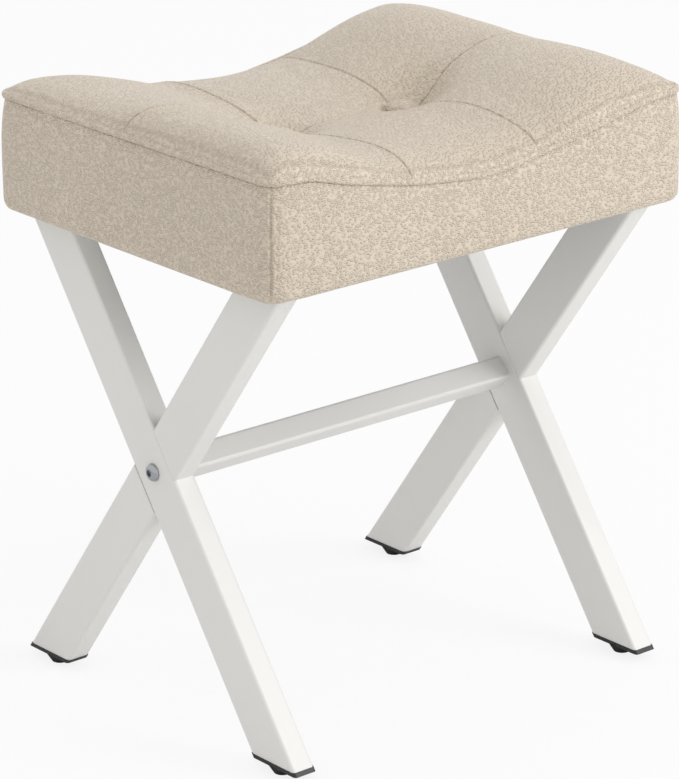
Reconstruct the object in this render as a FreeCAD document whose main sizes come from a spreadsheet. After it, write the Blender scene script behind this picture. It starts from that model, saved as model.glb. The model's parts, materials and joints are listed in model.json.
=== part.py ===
import FreeCAD, Part
import math
import os
import Sketcher
from FreeCAD import Placement, Rotation, Vector

# Vanity stool: a quilted saddle seat on two X frames of rectangular tube.
# Millimetres. Origin on the floor under the middle of the seat, Z up,
# X along the seat's long side, Y across it with the front at -Y.

# Driving sizes: alias, value, what it is.
SIZES = [
    ("SeatLength", 416, "seat, end to end at its widest"),
    ("SeatDepth", 330, "seat, front to back at its widest"),
    ("SideBulge", 3, "how far a side swells at half its height"),
    ("CornerRadius", 14, "upright corners of the seat, seen from above"),
    ("UnderRadius", 8, "rounding of the seat's lower edge"),
    ("BoxingHeight", 89, "leg tops to the welt at the ends"),
    ("WeltDip", 29, "how much lower the welt is in the middle of a long side"),
    ("WeltLevel", 24, "end of the seat to where the welt starts to dip"),
    ("WeltShare", 0.64, "share of the dip that the wide middle bend takes"),
    ("WeltWidth", 5.5, "thickness of the welt piping"),
    ("WeltProud", 1.8, "how far the piping stands out of the side"),
    ("CordWidth", 3.3, "core cord inside the piping"),
    ("SoftPlay", 0.2, "foam cut back from the piping"),
    ("CrossSeam", 62, "middle of the seat to each cross seam"),
    ("CrestInset", 38, "end of the seat to the crest of an end panel"),
    ("CrownOffset", 88, "lengthwise seam to the crown of a panel"),
    ("SeamMiddleHeight", 69, "leg tops to the lengthwise seam, middle"),
    ("SeamButtonHeight", 63, "leg tops to the lengthwise seam at a button"),
    ("SeamEndHeight", 107.5, "leg tops to the lengthwise seam, ends"),
    ("CrownMiddleHeight", 85, "leg tops to the crown, middle"),
    ("CrownSeamHeight", 83.5, "leg tops to the crown at a cross seam"),
    ("CrownEndHeight", 112.5, "leg tops to the crown, ends"),
    ("TopRoll", 18, "rounding of the top over the ends of the seat"),
    ("Leather", 1, "thickness of the leather"),
    ("ReturnWidth", 45, "leather turned under the board"),
    ("BoardThick", 12, "plywood board"),
    ("BoardInset", 18, "board edge inside the seat's side"),
    ("BoardCorner", 20, "corner radius of the board"),
    ("DustThick", 0.5, "dust cover"),
    ("DustInset", 30, "dust cover edge inside the seat's side"),
    ("ButtonWidth", 27, "covered button"),
    ("ButtonRim", 3, "straight rim of a button"),
    ("ButtonDome", 4, "rise of a button's dome"),
    ("TieWidth", 2, "cord that pulls a button down"),
    ("AnchorWidth", 20, "disc under the board that holds a button cord"),
    ("FrameInset", 21.5, "outer face of an X inside the end of the seat"),
    ("FrameHeight", 365, "leg cut at the floor to leg cut under the seat"),
    ("FootHalfSpread", 138, "middle of the stool to the middle of a leg at its lower cut"),
    ("TopHalfSpread", 125.3, "middle of the stool to the middle of a leg at its upper cut"),
    ("TubeWidth", 40, "wide side of the leg tube"),
    ("TubeDepth", 20, "narrow side of the leg tube"),
    ("TubeWall", 1.5, "wall of all tubes"),
    ("TubeCorner", 2.5, "outer corner radius of all tubes"),
    ("BarSide", 20, "side of the square stretcher tube"),
    ("PlateWidth", 25, "seat plate, along the seat"),
    ("PlateThick", 3, "seat plate, its top level with the leg tops"),
    ("SeatBoltInset", 25.6, "seat bolt from the side of a leg top"),
    ("SeatBoltSize", 6, "thread of a seat bolt"),
    ("SeatBoltReach", 16, "seat bolt beyond its head"),
    ("WasherWidth", 16, "washer under a seat bolt"),
    ("WasherThick", 1.2, "washer under a seat bolt"),
    ("TeeFlangeWidth", 18, "flange of a tee nut on the board"),
    ("TeeFlangeThick", 1.5, "flange of a tee nut on the board"),
    ("TeeBarrelWall", 1, "wall of a tee nut round its thread"),
    ("TeeDepth", 9, "tee nut inside the board"),
    ("BarBoltSize", 8, "thread of a stretcher bolt"),
    ("BarBoltReach", 34, "stretcher bolt beyond its head"),
    ("InsertLength", 15, "threaded insert in the end of the stretcher"),
    ("BoltPlay", 0.25, "play round a bolt in its hole, on the radius"),
    ("CapLip", 3, "end cap below the leg cut"),
    ("CapProud", 0.5, "end cap lip outside the tube"),
    ("CapPlug", 16, "end cap inside the tube"),
    ("CapPlay", 0.1, "end cap inside the tube, on each side"),
    ("StudSize", 6, "thread of a levelling foot"),
    ("StudReach", 18, "stud above its pad"),
    ("StudPlay", 0.05, "running clearance of the stud in its nut, on the radius"),
    ("NutWidth", 10, "foot nut across its flats"),
    ("NutHeight", 5, "foot nut"),
    ("PadHeight", 7, "round foot pad"),
    ("PadTop", 22, "foot pad where it meets the cap"),
    ("PadBase", 13, "foot pad where it meets the floor"),
    ("StapleWidth", 10, "back of a staple"),
    ("StapleWire", 0.6, "staple wire"),
    ("StapleLeg", 6, "leg of a staple"),
    ("StaplePitch", 37, "staples, centre to centre"),
    ("StapleGap", 2, "end staples from the seat plates"),
]

doc = FreeCAD.newDocument("VanityStool")
sheet = doc.addObject("Spreadsheet::Sheet", "Sizes")
for row, (alias, value, meaning) in enumerate(SIZES, start=1):
    sheet.set(f"A{row}", meaning)
    sheet.set(f"B{row}", str(value))
    sheet.setAlias(f"B{row}", alias)
doc.recompute()

NODES = {}
SIDES = {"left": -1, "right": 1}
DEPTHS = {"front": -1, "back": 1}


def size(alias):
    """The number in the sheet's cell of that alias."""
    return float(sheet.get(alias))


# Button-head screws: head width, height, rim, flat top, socket width and depth per thread size.
HEAD_WIDTH = 1.75
HEAD_HEIGHT = 0.55
HEAD_RIM = 0.1
HEAD_FLAT = 0.35
SOCKET_WIDTH = 0.625
SOCKET_DEPTH = 0.32

# Places that several pieces share, as expressions on the sheet.
LEG_CUT = "(Sizes.PadHeight + Sizes.CapLip)"
LEG_TOP = f"({LEG_CUT} + Sizes.FrameHeight)"
LEATHER_BASE = f"({LEG_TOP} + Sizes.DustThick)"
BOARD_BASE = f"({LEATHER_BASE} + Sizes.Leather)"
CROSS_RISE = ("(Sizes.FrameHeight * Sizes.FootHalfSpread"
              " / (Sizes.FootHalfSpread + Sizes.TopHalfSpread))")
CROSS_HEIGHT = f"({LEG_CUT} + {CROSS_RISE})"
SLOPE = "((Sizes.FootHalfSpread + Sizes.TopHalfSpread) / Sizes.FrameHeight)"
SLANT = f"sqrt(1 + {SLOPE} * {SLOPE})"
LEG_HALF = f"(Sizes.TubeWidth / 2 * {SLANT})"
BORE_HALF = f"((Sizes.TubeWidth / 2 - Sizes.TubeWall) * {SLANT})"
TOP_RISE = f"(Sizes.FrameHeight - {CROSS_RISE})"
FRAME_OUT = "(Sizes.SeatLength / 2 - Sizes.FrameInset)"
FRAME_IN = f"({FRAME_OUT} - Sizes.TubeDepth)"
LEG_START = {"left": f"(-{FRAME_OUT})", "right": FRAME_IN}
PLATE_START = {"left": f"(-{FRAME_OUT})", "right": f"({FRAME_OUT} - Sizes.PlateWidth)"}
BOLT_HOLE = "(Sizes.SeatBoltSize / 2 + Sizes.BoltPlay)"
SEAT_BOLT_Y = f"(Sizes.TopHalfSpread - {LEG_HALF} - Sizes.SeatBoltInset)"
SEAT_BOLT_PLACES = []
for start_x in PLATE_START.values():
    for start_y in ("-", ""):
        SEAT_BOLT_PLACES.append((f"{start_x} + Sizes.PlateWidth / 2", f"{start_y}{SEAT_BOLT_Y}"))

# The same places as numbers, for the shapes made with Part's own functions.
leg_cut = size("PadHeight") + size("CapLip")
leg_top = leg_cut + size("FrameHeight")
plate_base = leg_top - size("PlateThick")
leather_base = leg_top + size("DustThick")
board_base = leather_base + size("Leather")
board_top = board_base + size("BoardThick")
slope = (size("FootHalfSpread") + size("TopHalfSpread")) / size("FrameHeight")
cross_height = leg_cut + size("FootHalfSpread") / slope
seat_end = size("SeatLength") / 2
frame_out = seat_end - size("FrameInset")
plate_middle = frame_out - size("PlateWidth") / 2
seat_bolt_y = (size("TopHalfSpread") - size("TubeWidth") / 2 * math.sqrt(1 + slope ** 2)
               - size("SeatBoltInset"))
welt_run = seat_end - size("WeltLevel")
crest = seat_end - size("CrestInset")

# How far a cutting shape reaches past what it cuts.
BEYOND = 20.0


# Bodies and sketches

def new_body(label):
    """A PartDesign body that makes one node."""
    body = doc.addObject("PartDesign::Body", label)
    body.Label = label
    NODES[label] = body
    return body


def new_sketch(body, name, plane, offset="0"):
    """A sketch on one of the body's origin planes, moved along that plane's normal."""
    sketch = body.newObject("Sketcher::SketchObject", f"{body.Name}_{name}")
    for feature in body.Origin.OriginFeatures:
        if feature.Role == plane:
            sketch.AttachmentSupport = [(feature, "")]
    sketch.MapMode = "FlatFace"
    sketch.setExpression("AttachmentOffset.Base.z", offset)
    return sketch


def hold_point(sketch, geometry, position, place):
    """Hold a point of the sketch at a pair of expressions."""
    for kind, expression in zip(("DistanceX", "DistanceY"), place):
        number = sketch.addConstraint(Sketcher.Constraint(kind, -1, 1, geometry, position, 1.0))
        sketch.setExpression(f"Constraints[{number}]", expression)


def add_polygon(sketch, corners):
    """A closed outline whose corners are held at pairs of expressions."""
    first = sketch.GeometryCount
    count = len(corners)
    start = []
    for index in range(count):
        angle = 2 * math.pi * index / count
        start.append(Vector(math.cos(angle), math.sin(angle), 0) * size("TubeWidth"))
    for index in range(count):
        sketch.addGeometry(Part.LineSegment(start[index], start[(index + 1) % count]))
    for index in range(count):
        follower = first + (index + 1) % count
        sketch.addConstraint(Sketcher.Constraint("Coincident", first + index, 2, follower, 1))
    for index, corner in enumerate(corners):
        hold_point(sketch, first + index, 1, corner)


def add_rectangle(sketch, half_x, half_y, middle=("0", "0")):
    """A rectangle about a middle, from expressions for its half sides."""
    corners = []
    for sign_x, sign_y in (("-", "-"), ("+", "-"), ("+", "+"), ("-", "+")):
        corners.append((f"{middle[0]} {sign_x} {half_x}", f"{middle[1]} {sign_y} {half_y}"))
    add_polygon(sketch, corners)


def add_circle(sketch, middle, radius):
    """A circle from expressions for its middle and radius."""
    geometry = sketch.addGeometry(Part.Circle(Vector(1, 1, 0), Vector(0, 0, 1), 1.0))
    hold_point(sketch, geometry, 3, middle)
    number = sketch.addConstraint(Sketcher.Constraint("Radius", geometry, 1.0))
    sketch.setExpression(f"Constraints[{number}]", radius)


def add_pad(body, sketch, length, name="Pad"):
    """Pad a sketch along its normal."""
    pad = body.newObject("PartDesign::Pad", f"{body.Name}_{name}")
    pad.Profile = sketch
    pad.setExpression("Length", length)
    doc.recompute()
    return pad


def add_pocket(body, sketch, length, name="Pocket"):
    """Cut a sketch out along its normal, and make sure that it took something away."""
    doc.recompute()
    before = body.Shape.Volume
    pocket = body.newObject("PartDesign::Pocket", f"{body.Name}_{name}")
    pocket.Profile = sketch
    pocket.Reversed = True
    pocket.setExpression("Length", length)
    doc.recompute()
    if not body.Shape.Volume < before:
        raise RuntimeError(f"{body.Label}: {name} cuts nothing")
    return pocket


def add_fillet(body, base, radius, directions, name="Fillet"):
    """Round the straight edges of a feature that run along one of the directions."""
    chosen = []
    for index, edge in enumerate(base.Shape.Edges, start=1):
        if edge.Curve.TypeId != "Part::GeomLine":
            continue
        run = edge.tangentAt(edge.FirstParameter)
        if any(abs(abs(run.dot(way)) - 1) < 1e-6 for way in directions):
            chosen.append(f"Edge{index}")
    fillet = body.newObject("PartDesign::Fillet", f"{body.Name}_{name}")
    fillet.Base = (base, chosen)
    fillet.setExpression("Radius", radius)
    doc.recompute()
    return fillet


# Legs: both legs of an X are flush, so one is cut and its halves are welded to the other.

def leg_line(way, side, rise, half):
    """A point on the edge of a leg: way is the leg's lean, side the edge, rise from the crossing."""
    return (f"{way} * {SLOPE} * ({rise}) + {side} * {half}", f"{CROSS_HEIGHT} + ({rise})")


def through_outline(half):
    """The long leg, from its lower cut to its upper cut."""
    low = f"-{CROSS_RISE}"
    return [leg_line(1, -1, low, half), leg_line(1, 1, low, half),
            leg_line(1, 1, TOP_RISE, half), leg_line(1, -1, TOP_RISE, half)]


def half_outline(end, half):
    """Half of the cut leg, from the face of the long leg to its upper (1) or lower (-1) cut."""
    tip = TOP_RISE if end > 0 else f"-{CROSS_RISE}"
    near = f"({LEG_HALF} - {half}) / (2 * {SLOPE})"
    far = f"({LEG_HALF} + {half}) / (2 * {SLOPE})"
    return [leg_line(-1, -end, f"{end} * {near}", half), leg_line(-1, end, f"{end} * {far}", half),
            leg_line(-1, end, tip, half), leg_line(-1, -end, tip, half)]


def build_leg(label, side, outline, lean):
    """One piece of leg tube: padded outline, rounded long edges, bore."""
    body = new_body(label)
    outer = new_sketch(body, "Outline", "YZ_Plane", LEG_START[side])
    add_polygon(outer, outline(LEG_HALF))
    pad = add_pad(body, outer, "Sizes.TubeDepth")
    run = Vector(0, lean * slope, 1).normalize()
    add_fillet(body, pad, "Sizes.TubeCorner", [run])
    bore = new_sketch(body, "Bore", "YZ_Plane", f"{LEG_START[side]} + Sizes.TubeWall")
    add_polygon(bore, outline(BORE_HALF))
    add_pocket(body, bore, "Sizes.TubeDepth - 2 * Sizes.TubeWall", "Bore")
    return body


def build_frame(side):
    """The X on one side: three tubes and the bolt hole through the crossing."""
    through = build_leg(f"{side}_through_leg", side, through_outline, 1)
    hole = new_sketch(through, "BoltHole", "YZ_Plane", LEG_START[side])
    add_circle(hole, ("0", CROSS_HEIGHT), "Sizes.BarBoltSize / 2 + Sizes.BoltPlay")
    add_pocket(through, hole, "Sizes.TubeDepth", "BoltHole")
    build_leg(f"{side}_upper_leg", side, lambda half: half_outline(1, half), -1)
    build_leg(f"{side}_lower_leg", side, lambda half: half_outline(-1, half), -1)


def build_seat_plate(side):
    """Flat bar welded between the leg tops, level with them, with two holes for seat bolts."""
    body = new_body(f"{side}_seat_plate")
    outline = new_sketch(body, "Outline", "YZ_Plane", PLATE_START[side])
    low = f"{TOP_RISE} - Sizes.PlateThick"
    add_polygon(outline, [leg_line(-1, 1, low, LEG_HALF), leg_line(1, -1, low, LEG_HALF),
                          leg_line(1, -1, TOP_RISE, LEG_HALF), leg_line(-1, 1, TOP_RISE, LEG_HALF)])
    add_pad(body, outline, "Sizes.PlateWidth")
    holes = new_sketch(body, "Holes", "XY_Plane", f"{LEG_TOP} - Sizes.PlateThick")
    for sign in ("-", ""):
        place = (f"{PLATE_START[side]} + Sizes.PlateWidth / 2", f"{sign}{SEAT_BOLT_Y}")
        add_circle(holes, place, BOLT_HOLE)
    add_pocket(body, holes, "Sizes.PlateThick", "Holes")


def diamond(reach):
    """Corners of a square on its edge about the crossing."""
    return [(f"-{reach}", CROSS_HEIGHT), ("0", f"{CROSS_HEIGHT} - {reach}"),
            (reach, CROSS_HEIGHT), ("0", f"{CROSS_HEIGHT} + {reach}")]


def build_stretcher():
    """Square tube between the two X frames, set on its edge."""
    body = new_body("stretcher_tube")
    outline = new_sketch(body, "Outline", "YZ_Plane", f"-{FRAME_IN}")
    add_polygon(outline, diamond("(Sizes.BarSide / sqrt(2))"))
    pad = add_pad(body, outline, f"2 * {FRAME_IN}")
    add_fillet(body, pad, "Sizes.TubeCorner", [Vector(1, 0, 0)])
    bore = new_sketch(body, "Bore", "YZ_Plane", f"-{FRAME_IN}")
    add_polygon(bore, diamond("((Sizes.BarSide - 2 * Sizes.TubeWall) / sqrt(2))"))
    add_pocket(body, bore, f"2 * {FRAME_IN}", "Bore")


def build_insert(side):
    """Threaded block welded into one end of the stretcher."""
    body = new_body(f"{side}_stretcher_insert")
    start = f"-{FRAME_IN}" if side == "left" else f"{FRAME_IN} - Sizes.InsertLength"
    outline = new_sketch(body, "Outline", "YZ_Plane", start)
    add_polygon(outline, diamond("((Sizes.BarSide - 2 * Sizes.TubeWall) / sqrt(2))"))
    add_pad(body, outline, "Sizes.InsertLength")
    hole = new_sketch(body, "Thread", "YZ_Plane", start)
    add_circle(hole, ("0", CROSS_HEIGHT), "Sizes.BarBoltSize / 2")
    add_pocket(body, hole, "Sizes.InsertLength", "Thread")


def build_end_cap(side, depth):
    """Plastic cap: a lip that follows the leg, a plug in the tube, a pocket for the nut."""
    sign = DEPTHS[depth]
    body = new_body(f"end_cap_{side}_{depth}")

    def slanted(low, high, half):
        """Four corners between two heights above the leg cut, along the leg."""
        corners = []
        for edge, rise in ((-1, low), (1, low), (1, high), (-1, high)):
            shift = f"{sign} * (Sizes.FootHalfSpread - {SLOPE} * ({rise}))"
            corners.append((f"{shift} + {edge} * {half}", f"{LEG_CUT} + ({rise})"))
        return corners

    lip = new_sketch(body, "Lip", "YZ_Plane", f"{LEG_START[side]} - Sizes.CapProud")
    add_polygon(lip, slanted("-Sizes.CapLip", "0", f"({LEG_HALF} + Sizes.CapProud)"))
    pad = add_pad(body, lip, "Sizes.TubeDepth + 2 * Sizes.CapProud", "Lip")
    lean = Vector(0, -sign * slope, 1).normalize()
    add_fillet(body, pad, "Sizes.TubeCorner", [lean])
    clear = "(Sizes.TubeWall + Sizes.CapPlay)"
    plug = new_sketch(body, "Plug", "YZ_Plane", f"{LEG_START[side]} + {clear}")
    add_polygon(plug, slanted("0", "Sizes.CapPlug", f"({BORE_HALF} - Sizes.CapPlay * {SLANT})"))
    add_pad(body, plug, f"Sizes.TubeDepth - 2 * {clear}", "Plug")
    middle = (f"{LEG_START[side]} + Sizes.TubeDepth / 2", f"{sign} * Sizes.FootHalfSpread")
    pocket = new_sketch(body, "NutPocket", "XY_Plane", f"{LEG_CUT} + Sizes.CapLip")
    corners = []
    for index in range(6):
        angle = math.radians(60 * index)
        reach = "(Sizes.NutWidth / sqrt(3))"
        corners.append((f"{middle[0]} + {reach} * {math.cos(angle):.9f}",
                        f"{middle[1]} + {reach} * {math.sin(angle):.9f}"))
    add_polygon(pocket, corners)
    add_pocket(body, pocket, "Sizes.CapPlug", "NutPocket")
    hole = new_sketch(body, "StudHole", "XY_Plane", f"{LEG_CUT} - Sizes.CapLip")
    add_circle(hole, middle, "Sizes.StudSize / 2 + Sizes.BoltPlay")
    add_pocket(body, hole, "2 * Sizes.CapLip", "StudHole")


def build_board():
    """Plywood board with holes for the tee nuts and the button cords."""
    body = new_body("seat_board")
    outline = new_sketch(body, "Outline", "XY_Plane", BOARD_BASE)
    add_rectangle(outline, "(Sizes.SeatLength / 2 - Sizes.BoardInset)",
                  "(Sizes.SeatDepth / 2 - Sizes.BoardInset)")
    pad = add_pad(body, outline, "Sizes.BoardThick")
    add_fillet(body, pad, "Sizes.BoardCorner", [Vector(0, 0, 1)])
    holes = new_sketch(body, "NutHoles", "XY_Plane", BOARD_BASE)
    for place in SEAT_BOLT_PLACES:
        add_circle(holes, place, "Sizes.SeatBoltSize / 2 + Sizes.TeeBarrelWall")
    add_pocket(body, holes, "Sizes.BoardThick", "NutHoles")
    ties = new_sketch(body, "TieHoles", "XY_Plane", BOARD_BASE)
    for sign_x in ("-", ""):
        add_circle(ties, (f"{sign_x}Sizes.CrossSeam", "0"), "Sizes.TieWidth / 2")
    add_pocket(body, ties, "Sizes.BoardThick", "TieHoles")


def build_dust_cover():
    """Non-woven sheet under the seat, pierced by the seat bolts."""
    body = new_body("dust_cover")
    outline = new_sketch(body, "Outline", "XY_Plane", LEG_TOP)
    add_rectangle(outline, "(Sizes.SeatLength / 2 - Sizes.DustInset)",
                  "(Sizes.SeatDepth / 2 - Sizes.DustInset)")
    add_pad(body, outline, "Sizes.DustThick")
    holes = new_sketch(body, "Holes", "XY_Plane", LEG_TOP)
    for place in SEAT_BOLT_PLACES:
        add_circle(holes, place, BOLT_HOLE)
    add_pocket(body, holes, "Sizes.DustThick", "Holes")


# Round pieces made of primitives

def primitive(kind, name, place=("0", "0", "0"), **lengths):
    """A Part primitive with its sizes and its place bound to expressions."""
    item = doc.addObject(f"Part::{kind}", name)
    for property_name, expression in lengths.items():
        item.setExpression(property_name, expression)
    for axis, expression in zip("xyz", place):
        item.setExpression(f"Placement.Base.{axis}", expression)
    return item


def combine(kind, label, base, tool):
    """A node that is one primitive cut by, or fused with, another."""
    item = doc.addObject(f"Part::{kind}", label)
    item.Label = label
    item.Base = base
    item.Tool = tool
    NODES[label] = item
    return item


def foot_place(side, depth, height):
    """Expressions for a point on the axis of a levelling foot."""
    return (f"{LEG_START[side]} + Sizes.TubeDepth / 2",
            f"{DEPTHS[depth]} * Sizes.FootHalfSpread", height)


def build_foot(side, depth):
    """Nut, stud and pad of one levelling foot."""
    tag = f"{side}_{depth}"
    nut = primitive("Prism", f"nut_blank_{tag}", foot_place(side, depth, f"{LEG_CUT} + Sizes.CapLip"),
                    Circumradius="Sizes.NutWidth / sqrt(3)", Height="Sizes.NutHeight")
    nut.Polygon = 6
    thread = primitive("Cylinder", f"nut_bore_{tag}", foot_place(side, depth, LEG_CUT),
                       Radius="Sizes.StudSize / 2 + Sizes.StudPlay",
                       Height="Sizes.CapLip + 2 * Sizes.NutHeight")
    combine("Cut", f"foot_nut_{tag}", nut, thread)
    half_pad = "Sizes.PadHeight / 2"
    stud = primitive("Cylinder", f"foot_stud_{tag}", foot_place(side, depth, half_pad),
                     Radius="Sizes.StudSize / 2", Height=f"{half_pad} + Sizes.StudReach")
    NODES[f"foot_stud_{tag}"] = stud
    cone = primitive("Cone", f"pad_blank_{tag}", foot_place(side, depth, "0"),
                     Radius1="Sizes.PadBase / 2", Radius2="Sizes.PadTop / 2", Height="Sizes.PadHeight")
    socket = primitive("Cylinder", f"pad_socket_{tag}", foot_place(side, depth, half_pad),
                       Radius="Sizes.StudSize / 2", Height="Sizes.PadHeight")
    combine("Cut", f"foot_pad_{tag}", cone, socket)


def build_tie(side):
    """Cord from a button down to its disc under the board."""
    sign = SIDES[side]
    under_button = f"({LEG_TOP} + Sizes.SeamButtonHeight)"
    tie = primitive("Cylinder", f"{side}_button_tie", (f"{sign} * Sizes.CrossSeam", "0", LEATHER_BASE),
                    Radius="Sizes.TieWidth / 2", Height=f"{under_button} - {LEATHER_BASE}")
    NODES[f"{side}_button_tie"] = tie
    disc = primitive("Cylinder", f"{side}_anchor_blank", (f"{sign} * Sizes.CrossSeam", "0", LEATHER_BASE),
                     Radius="Sizes.AnchorWidth / 2", Height="Sizes.Leather")
    bore = primitive("Cylinder", f"{side}_anchor_bore", (f"{sign} * Sizes.CrossSeam", "0", LEG_TOP),
                     Radius="Sizes.TieWidth / 2", Height="Sizes.BoardThick")
    combine("Cut", f"{side}_tie_anchor", disc, bore)


def line(start, end):
    """A straight edge."""
    return Part.LineSegment(start, end).toShape()


def arc(start, middle, end):
    """An arc edge through three points."""
    return Part.Arc(start, middle, end).toShape()


def button_screw(thread, reach):
    """Button-head screw with a hex socket, head up from the origin, thread down from it."""
    head_radius = HEAD_WIDTH * thread / 2
    head_height = HEAD_HEIGHT * thread
    rim = HEAD_RIM * thread
    crown = HEAD_FLAT * head_radius
    rise = head_height - rim
    ball = ((head_radius - crown) ** 2 + rise ** 2) / (2 * rise)
    lean = math.asin((head_radius - crown) / ball) / 2
    bend = Vector(crown + ball * math.sin(lean), 0, head_height - ball * (1 - math.cos(lean)))
    shoulder = Vector(head_radius, 0, rim)
    summit = Vector(crown, 0, head_height)
    centre = Vector(0, 0, head_height)
    outline = [line(Vector(), Vector(head_radius, 0, 0)), line(Vector(head_radius, 0, 0), shoulder),
               arc(shoulder, bend, summit), line(summit, centre), line(centre, Vector())]
    head = Part.Face(Part.Wire(outline)).revolve(Vector(), Vector(0, 0, 1), 360)
    corners = []
    for index in range(7):
        angle = math.radians(60 * index)
        corners.append(Vector(math.cos(angle), math.sin(angle), 0) * (SOCKET_WIDTH * thread / math.sqrt(3)))
    socket = Part.Face(Part.makePolygon(corners)).extrude(Vector(0, 0, head_height))
    socket.translate(Vector(0, 0, head_height - SOCKET_DEPTH * thread))
    shank = Part.makeCylinder(thread / 2, reach, Vector(0, 0, -reach))
    return head.cut(socket).fuse(shank).removeSplitter()


def add_feature(label, shape, place=None):
    """A node whose shape is made with Part's own functions."""
    item = doc.addObject("Part::Feature", label)
    item.Label = label
    item.Shape = shape
    if place is not None:
        item.Placement = place
    NODES[label] = item
    return item


def seat_bolt_places():
    """Where the four seat bolts stand, seen from above."""
    return [Vector(x * plate_middle, y * seat_bolt_y, 0) for x in (-1, 1) for y in (-1, 1)]


def at_places(shape, places, height):
    """Copies of a shape at several places of one height."""
    copies = []
    for place in places:
        copy = shape.copy()
        copy.translate(place + Vector(0, 0, height))
        copies.append(copy)
    return Part.makeCompound(copies)


def tee_nut():
    """Tee nut: a barrel in the board and a flange on its top face, origin at the flange's base."""
    bore = size("SeatBoltSize") / 2
    deep = size("TeeDepth")
    barrel = Part.makeCylinder(bore + size("TeeBarrelWall"), deep, Vector(0, 0, -deep))
    flange = Part.makeCylinder(size("TeeFlangeWidth") / 2, size("TeeFlangeThick"))
    hole = Part.makeCylinder(bore, 3 * deep, Vector(0, 0, -2 * deep))
    return barrel.fuse(flange).cut(hole).removeSplitter()


def build_fasteners():
    """Stretcher bolts, seat bolts with washers, and tee nuts."""
    for side, sign in SIDES.items():
        screw = button_screw(size("BarBoltSize"), size("BarBoltReach"))
        turn = Rotation(Vector(0, 1, 0), 90 * sign)
        add_feature(f"{side}_stretcher_bolt", screw,
                    Placement(Vector(sign * frame_out, 0, cross_height), turn))
    washer = Part.makeCylinder(size("WasherWidth") / 2, size("WasherThick"))
    washer = washer.cut(Part.makeCylinder(size("SeatBoltSize") / 2 + size("BoltPlay"), size("WasherThick")))
    under_plate = plate_base - size("WasherThick")
    add_feature("seat_bolt_washers", at_places(washer, seat_bolt_places(), under_plate))
    bolt = button_screw(size("SeatBoltSize"), size("SeatBoltReach"))
    bolt.rotate(Vector(), Vector(1, 0, 0), 180)
    add_feature("seat_bolts", at_places(bolt, seat_bolt_places(), under_plate))
    add_feature("tee_nuts", at_places(tee_nut(), seat_bolt_places(), board_top))


# Seat cover and foam: prisms for the sides, lofts for the quilted saddle top.

def extruded(edges, way):
    """A solid from a closed outline."""
    return Part.Face(Part.Wire(edges)).extrude(way)


def mirrored(shape, along_x, along_y):
    """A copy, mirrored to the other end or the other side of the seat where the sign is -1."""
    result = shape
    if along_x < 0:
        result = result.mirror(Vector(), Vector(1, 0, 0))
    if along_y < 0:
        result = result.mirror(Vector(), Vector(0, 1, 0))
    return result


def side_profile(half, inset):
    """Upright outline of the boxing as (distance, height) points: base, rounding, bulge, top."""
    edge = half - size("SideBulge") - inset
    radius = size("UnderRadius") - inset
    base = leather_base + inset
    top = leg_top + size("BoxingHeight")
    low = base + radius
    slack = radius * (1 - math.sqrt(0.5))
    return {"flat": (edge - radius, base), "bend": (edge - slack, base + slack), "low": (edge, low),
            "belly": (half - inset, (low + top) / 2), "top": (edge, top)}


def boxing_prism(half, inset, place, way):
    """The boxing's outline in one direction, extruded in the other."""
    spots = side_profile(half, inset)
    right = {name: place(reach, height) for name, (reach, height) in spots.items()}
    left = {name: place(-reach, height) for name, (reach, height) in spots.items()}
    edges = [line(left["flat"], right["flat"]), arc(right["flat"], right["bend"], right["low"]),
             arc(right["low"], right["belly"], right["top"]), line(right["top"], left["top"]),
             arc(left["top"], left["belly"], left["low"]), arc(left["low"], left["bend"], left["flat"])]
    return extruded(edges, way)


def rounded_prism(half_x, half_y, radius, base, height):
    """An upright block with rounded corners."""
    block = Part.makeBox(2 * half_x, 2 * half_y, height, Vector(-half_x, -half_y, base))
    upright = [edge for edge in block.Edges if abs(edge.tangentAt(0).z) > 0.99]
    return block.makeFillet(radius, upright)


def boxing_block(inset):
    """The seat below the level of the welt's ends, without its saddle."""
    half_y = size("SeatDepth") / 2
    span = seat_end + BEYOND
    lengthwise = boxing_prism(seat_end, inset, lambda reach, z: Vector(reach, -span, z), Vector(0, 2 * span, 0))
    crosswise = boxing_prism(half_y, inset, lambda reach, z: Vector(-span, reach, z), Vector(2 * span, 0, 0))
    corners = rounded_prism(seat_end - inset, half_y - inset, size("CornerRadius") - inset,
                            leather_base, size("BoxingHeight"))
    return lengthwise.common(crosswise).common(corners)


def welt_bends():
    """Radii and heights of the welt's dip: middle bend, end bend, where they meet."""
    dip = size("WeltDip")
    both = (welt_run ** 2 + dip ** 2) / (2 * dip)
    middle_radius = size("WeltShare") * both
    end_radius = both - middle_radius
    meet = welt_run * size("WeltShare")
    level = leg_top + size("BoxingHeight")
    meet_height = level - dip + middle_radius - math.sqrt(middle_radius ** 2 - meet ** 2)
    return {"level": level, "low": level - dip, "end_radius": end_radius,
            "meet": meet, "meet_height": meet_height}


def welt_edges(reach, y):
    """The welt's line along one long side, out to a reach on both ends."""
    bends = welt_bends()
    half_way = (bends["meet"] + welt_run) / 2
    drop = math.sqrt(bends["end_radius"] ** 2 - (welt_run - half_way) ** 2)
    half_height = bends["level"] - bends["end_radius"] + drop
    spots = [(reach, bends["level"]), (welt_run, bends["level"]), (half_way, half_height),
             (bends["meet"], bends["meet_height"])]
    left = [Vector(-x, y, z) for x, z in spots]
    right = [Vector(x, y, z) for x, z in spots]
    middle = Vector(0, y, bends["low"])
    return [line(left[0], left[1]), arc(left[1], left[2], left[3]), arc(left[3], middle, right[3]),
            arc(right[3], right[2], right[1]), line(right[1], right[0])]


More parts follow.
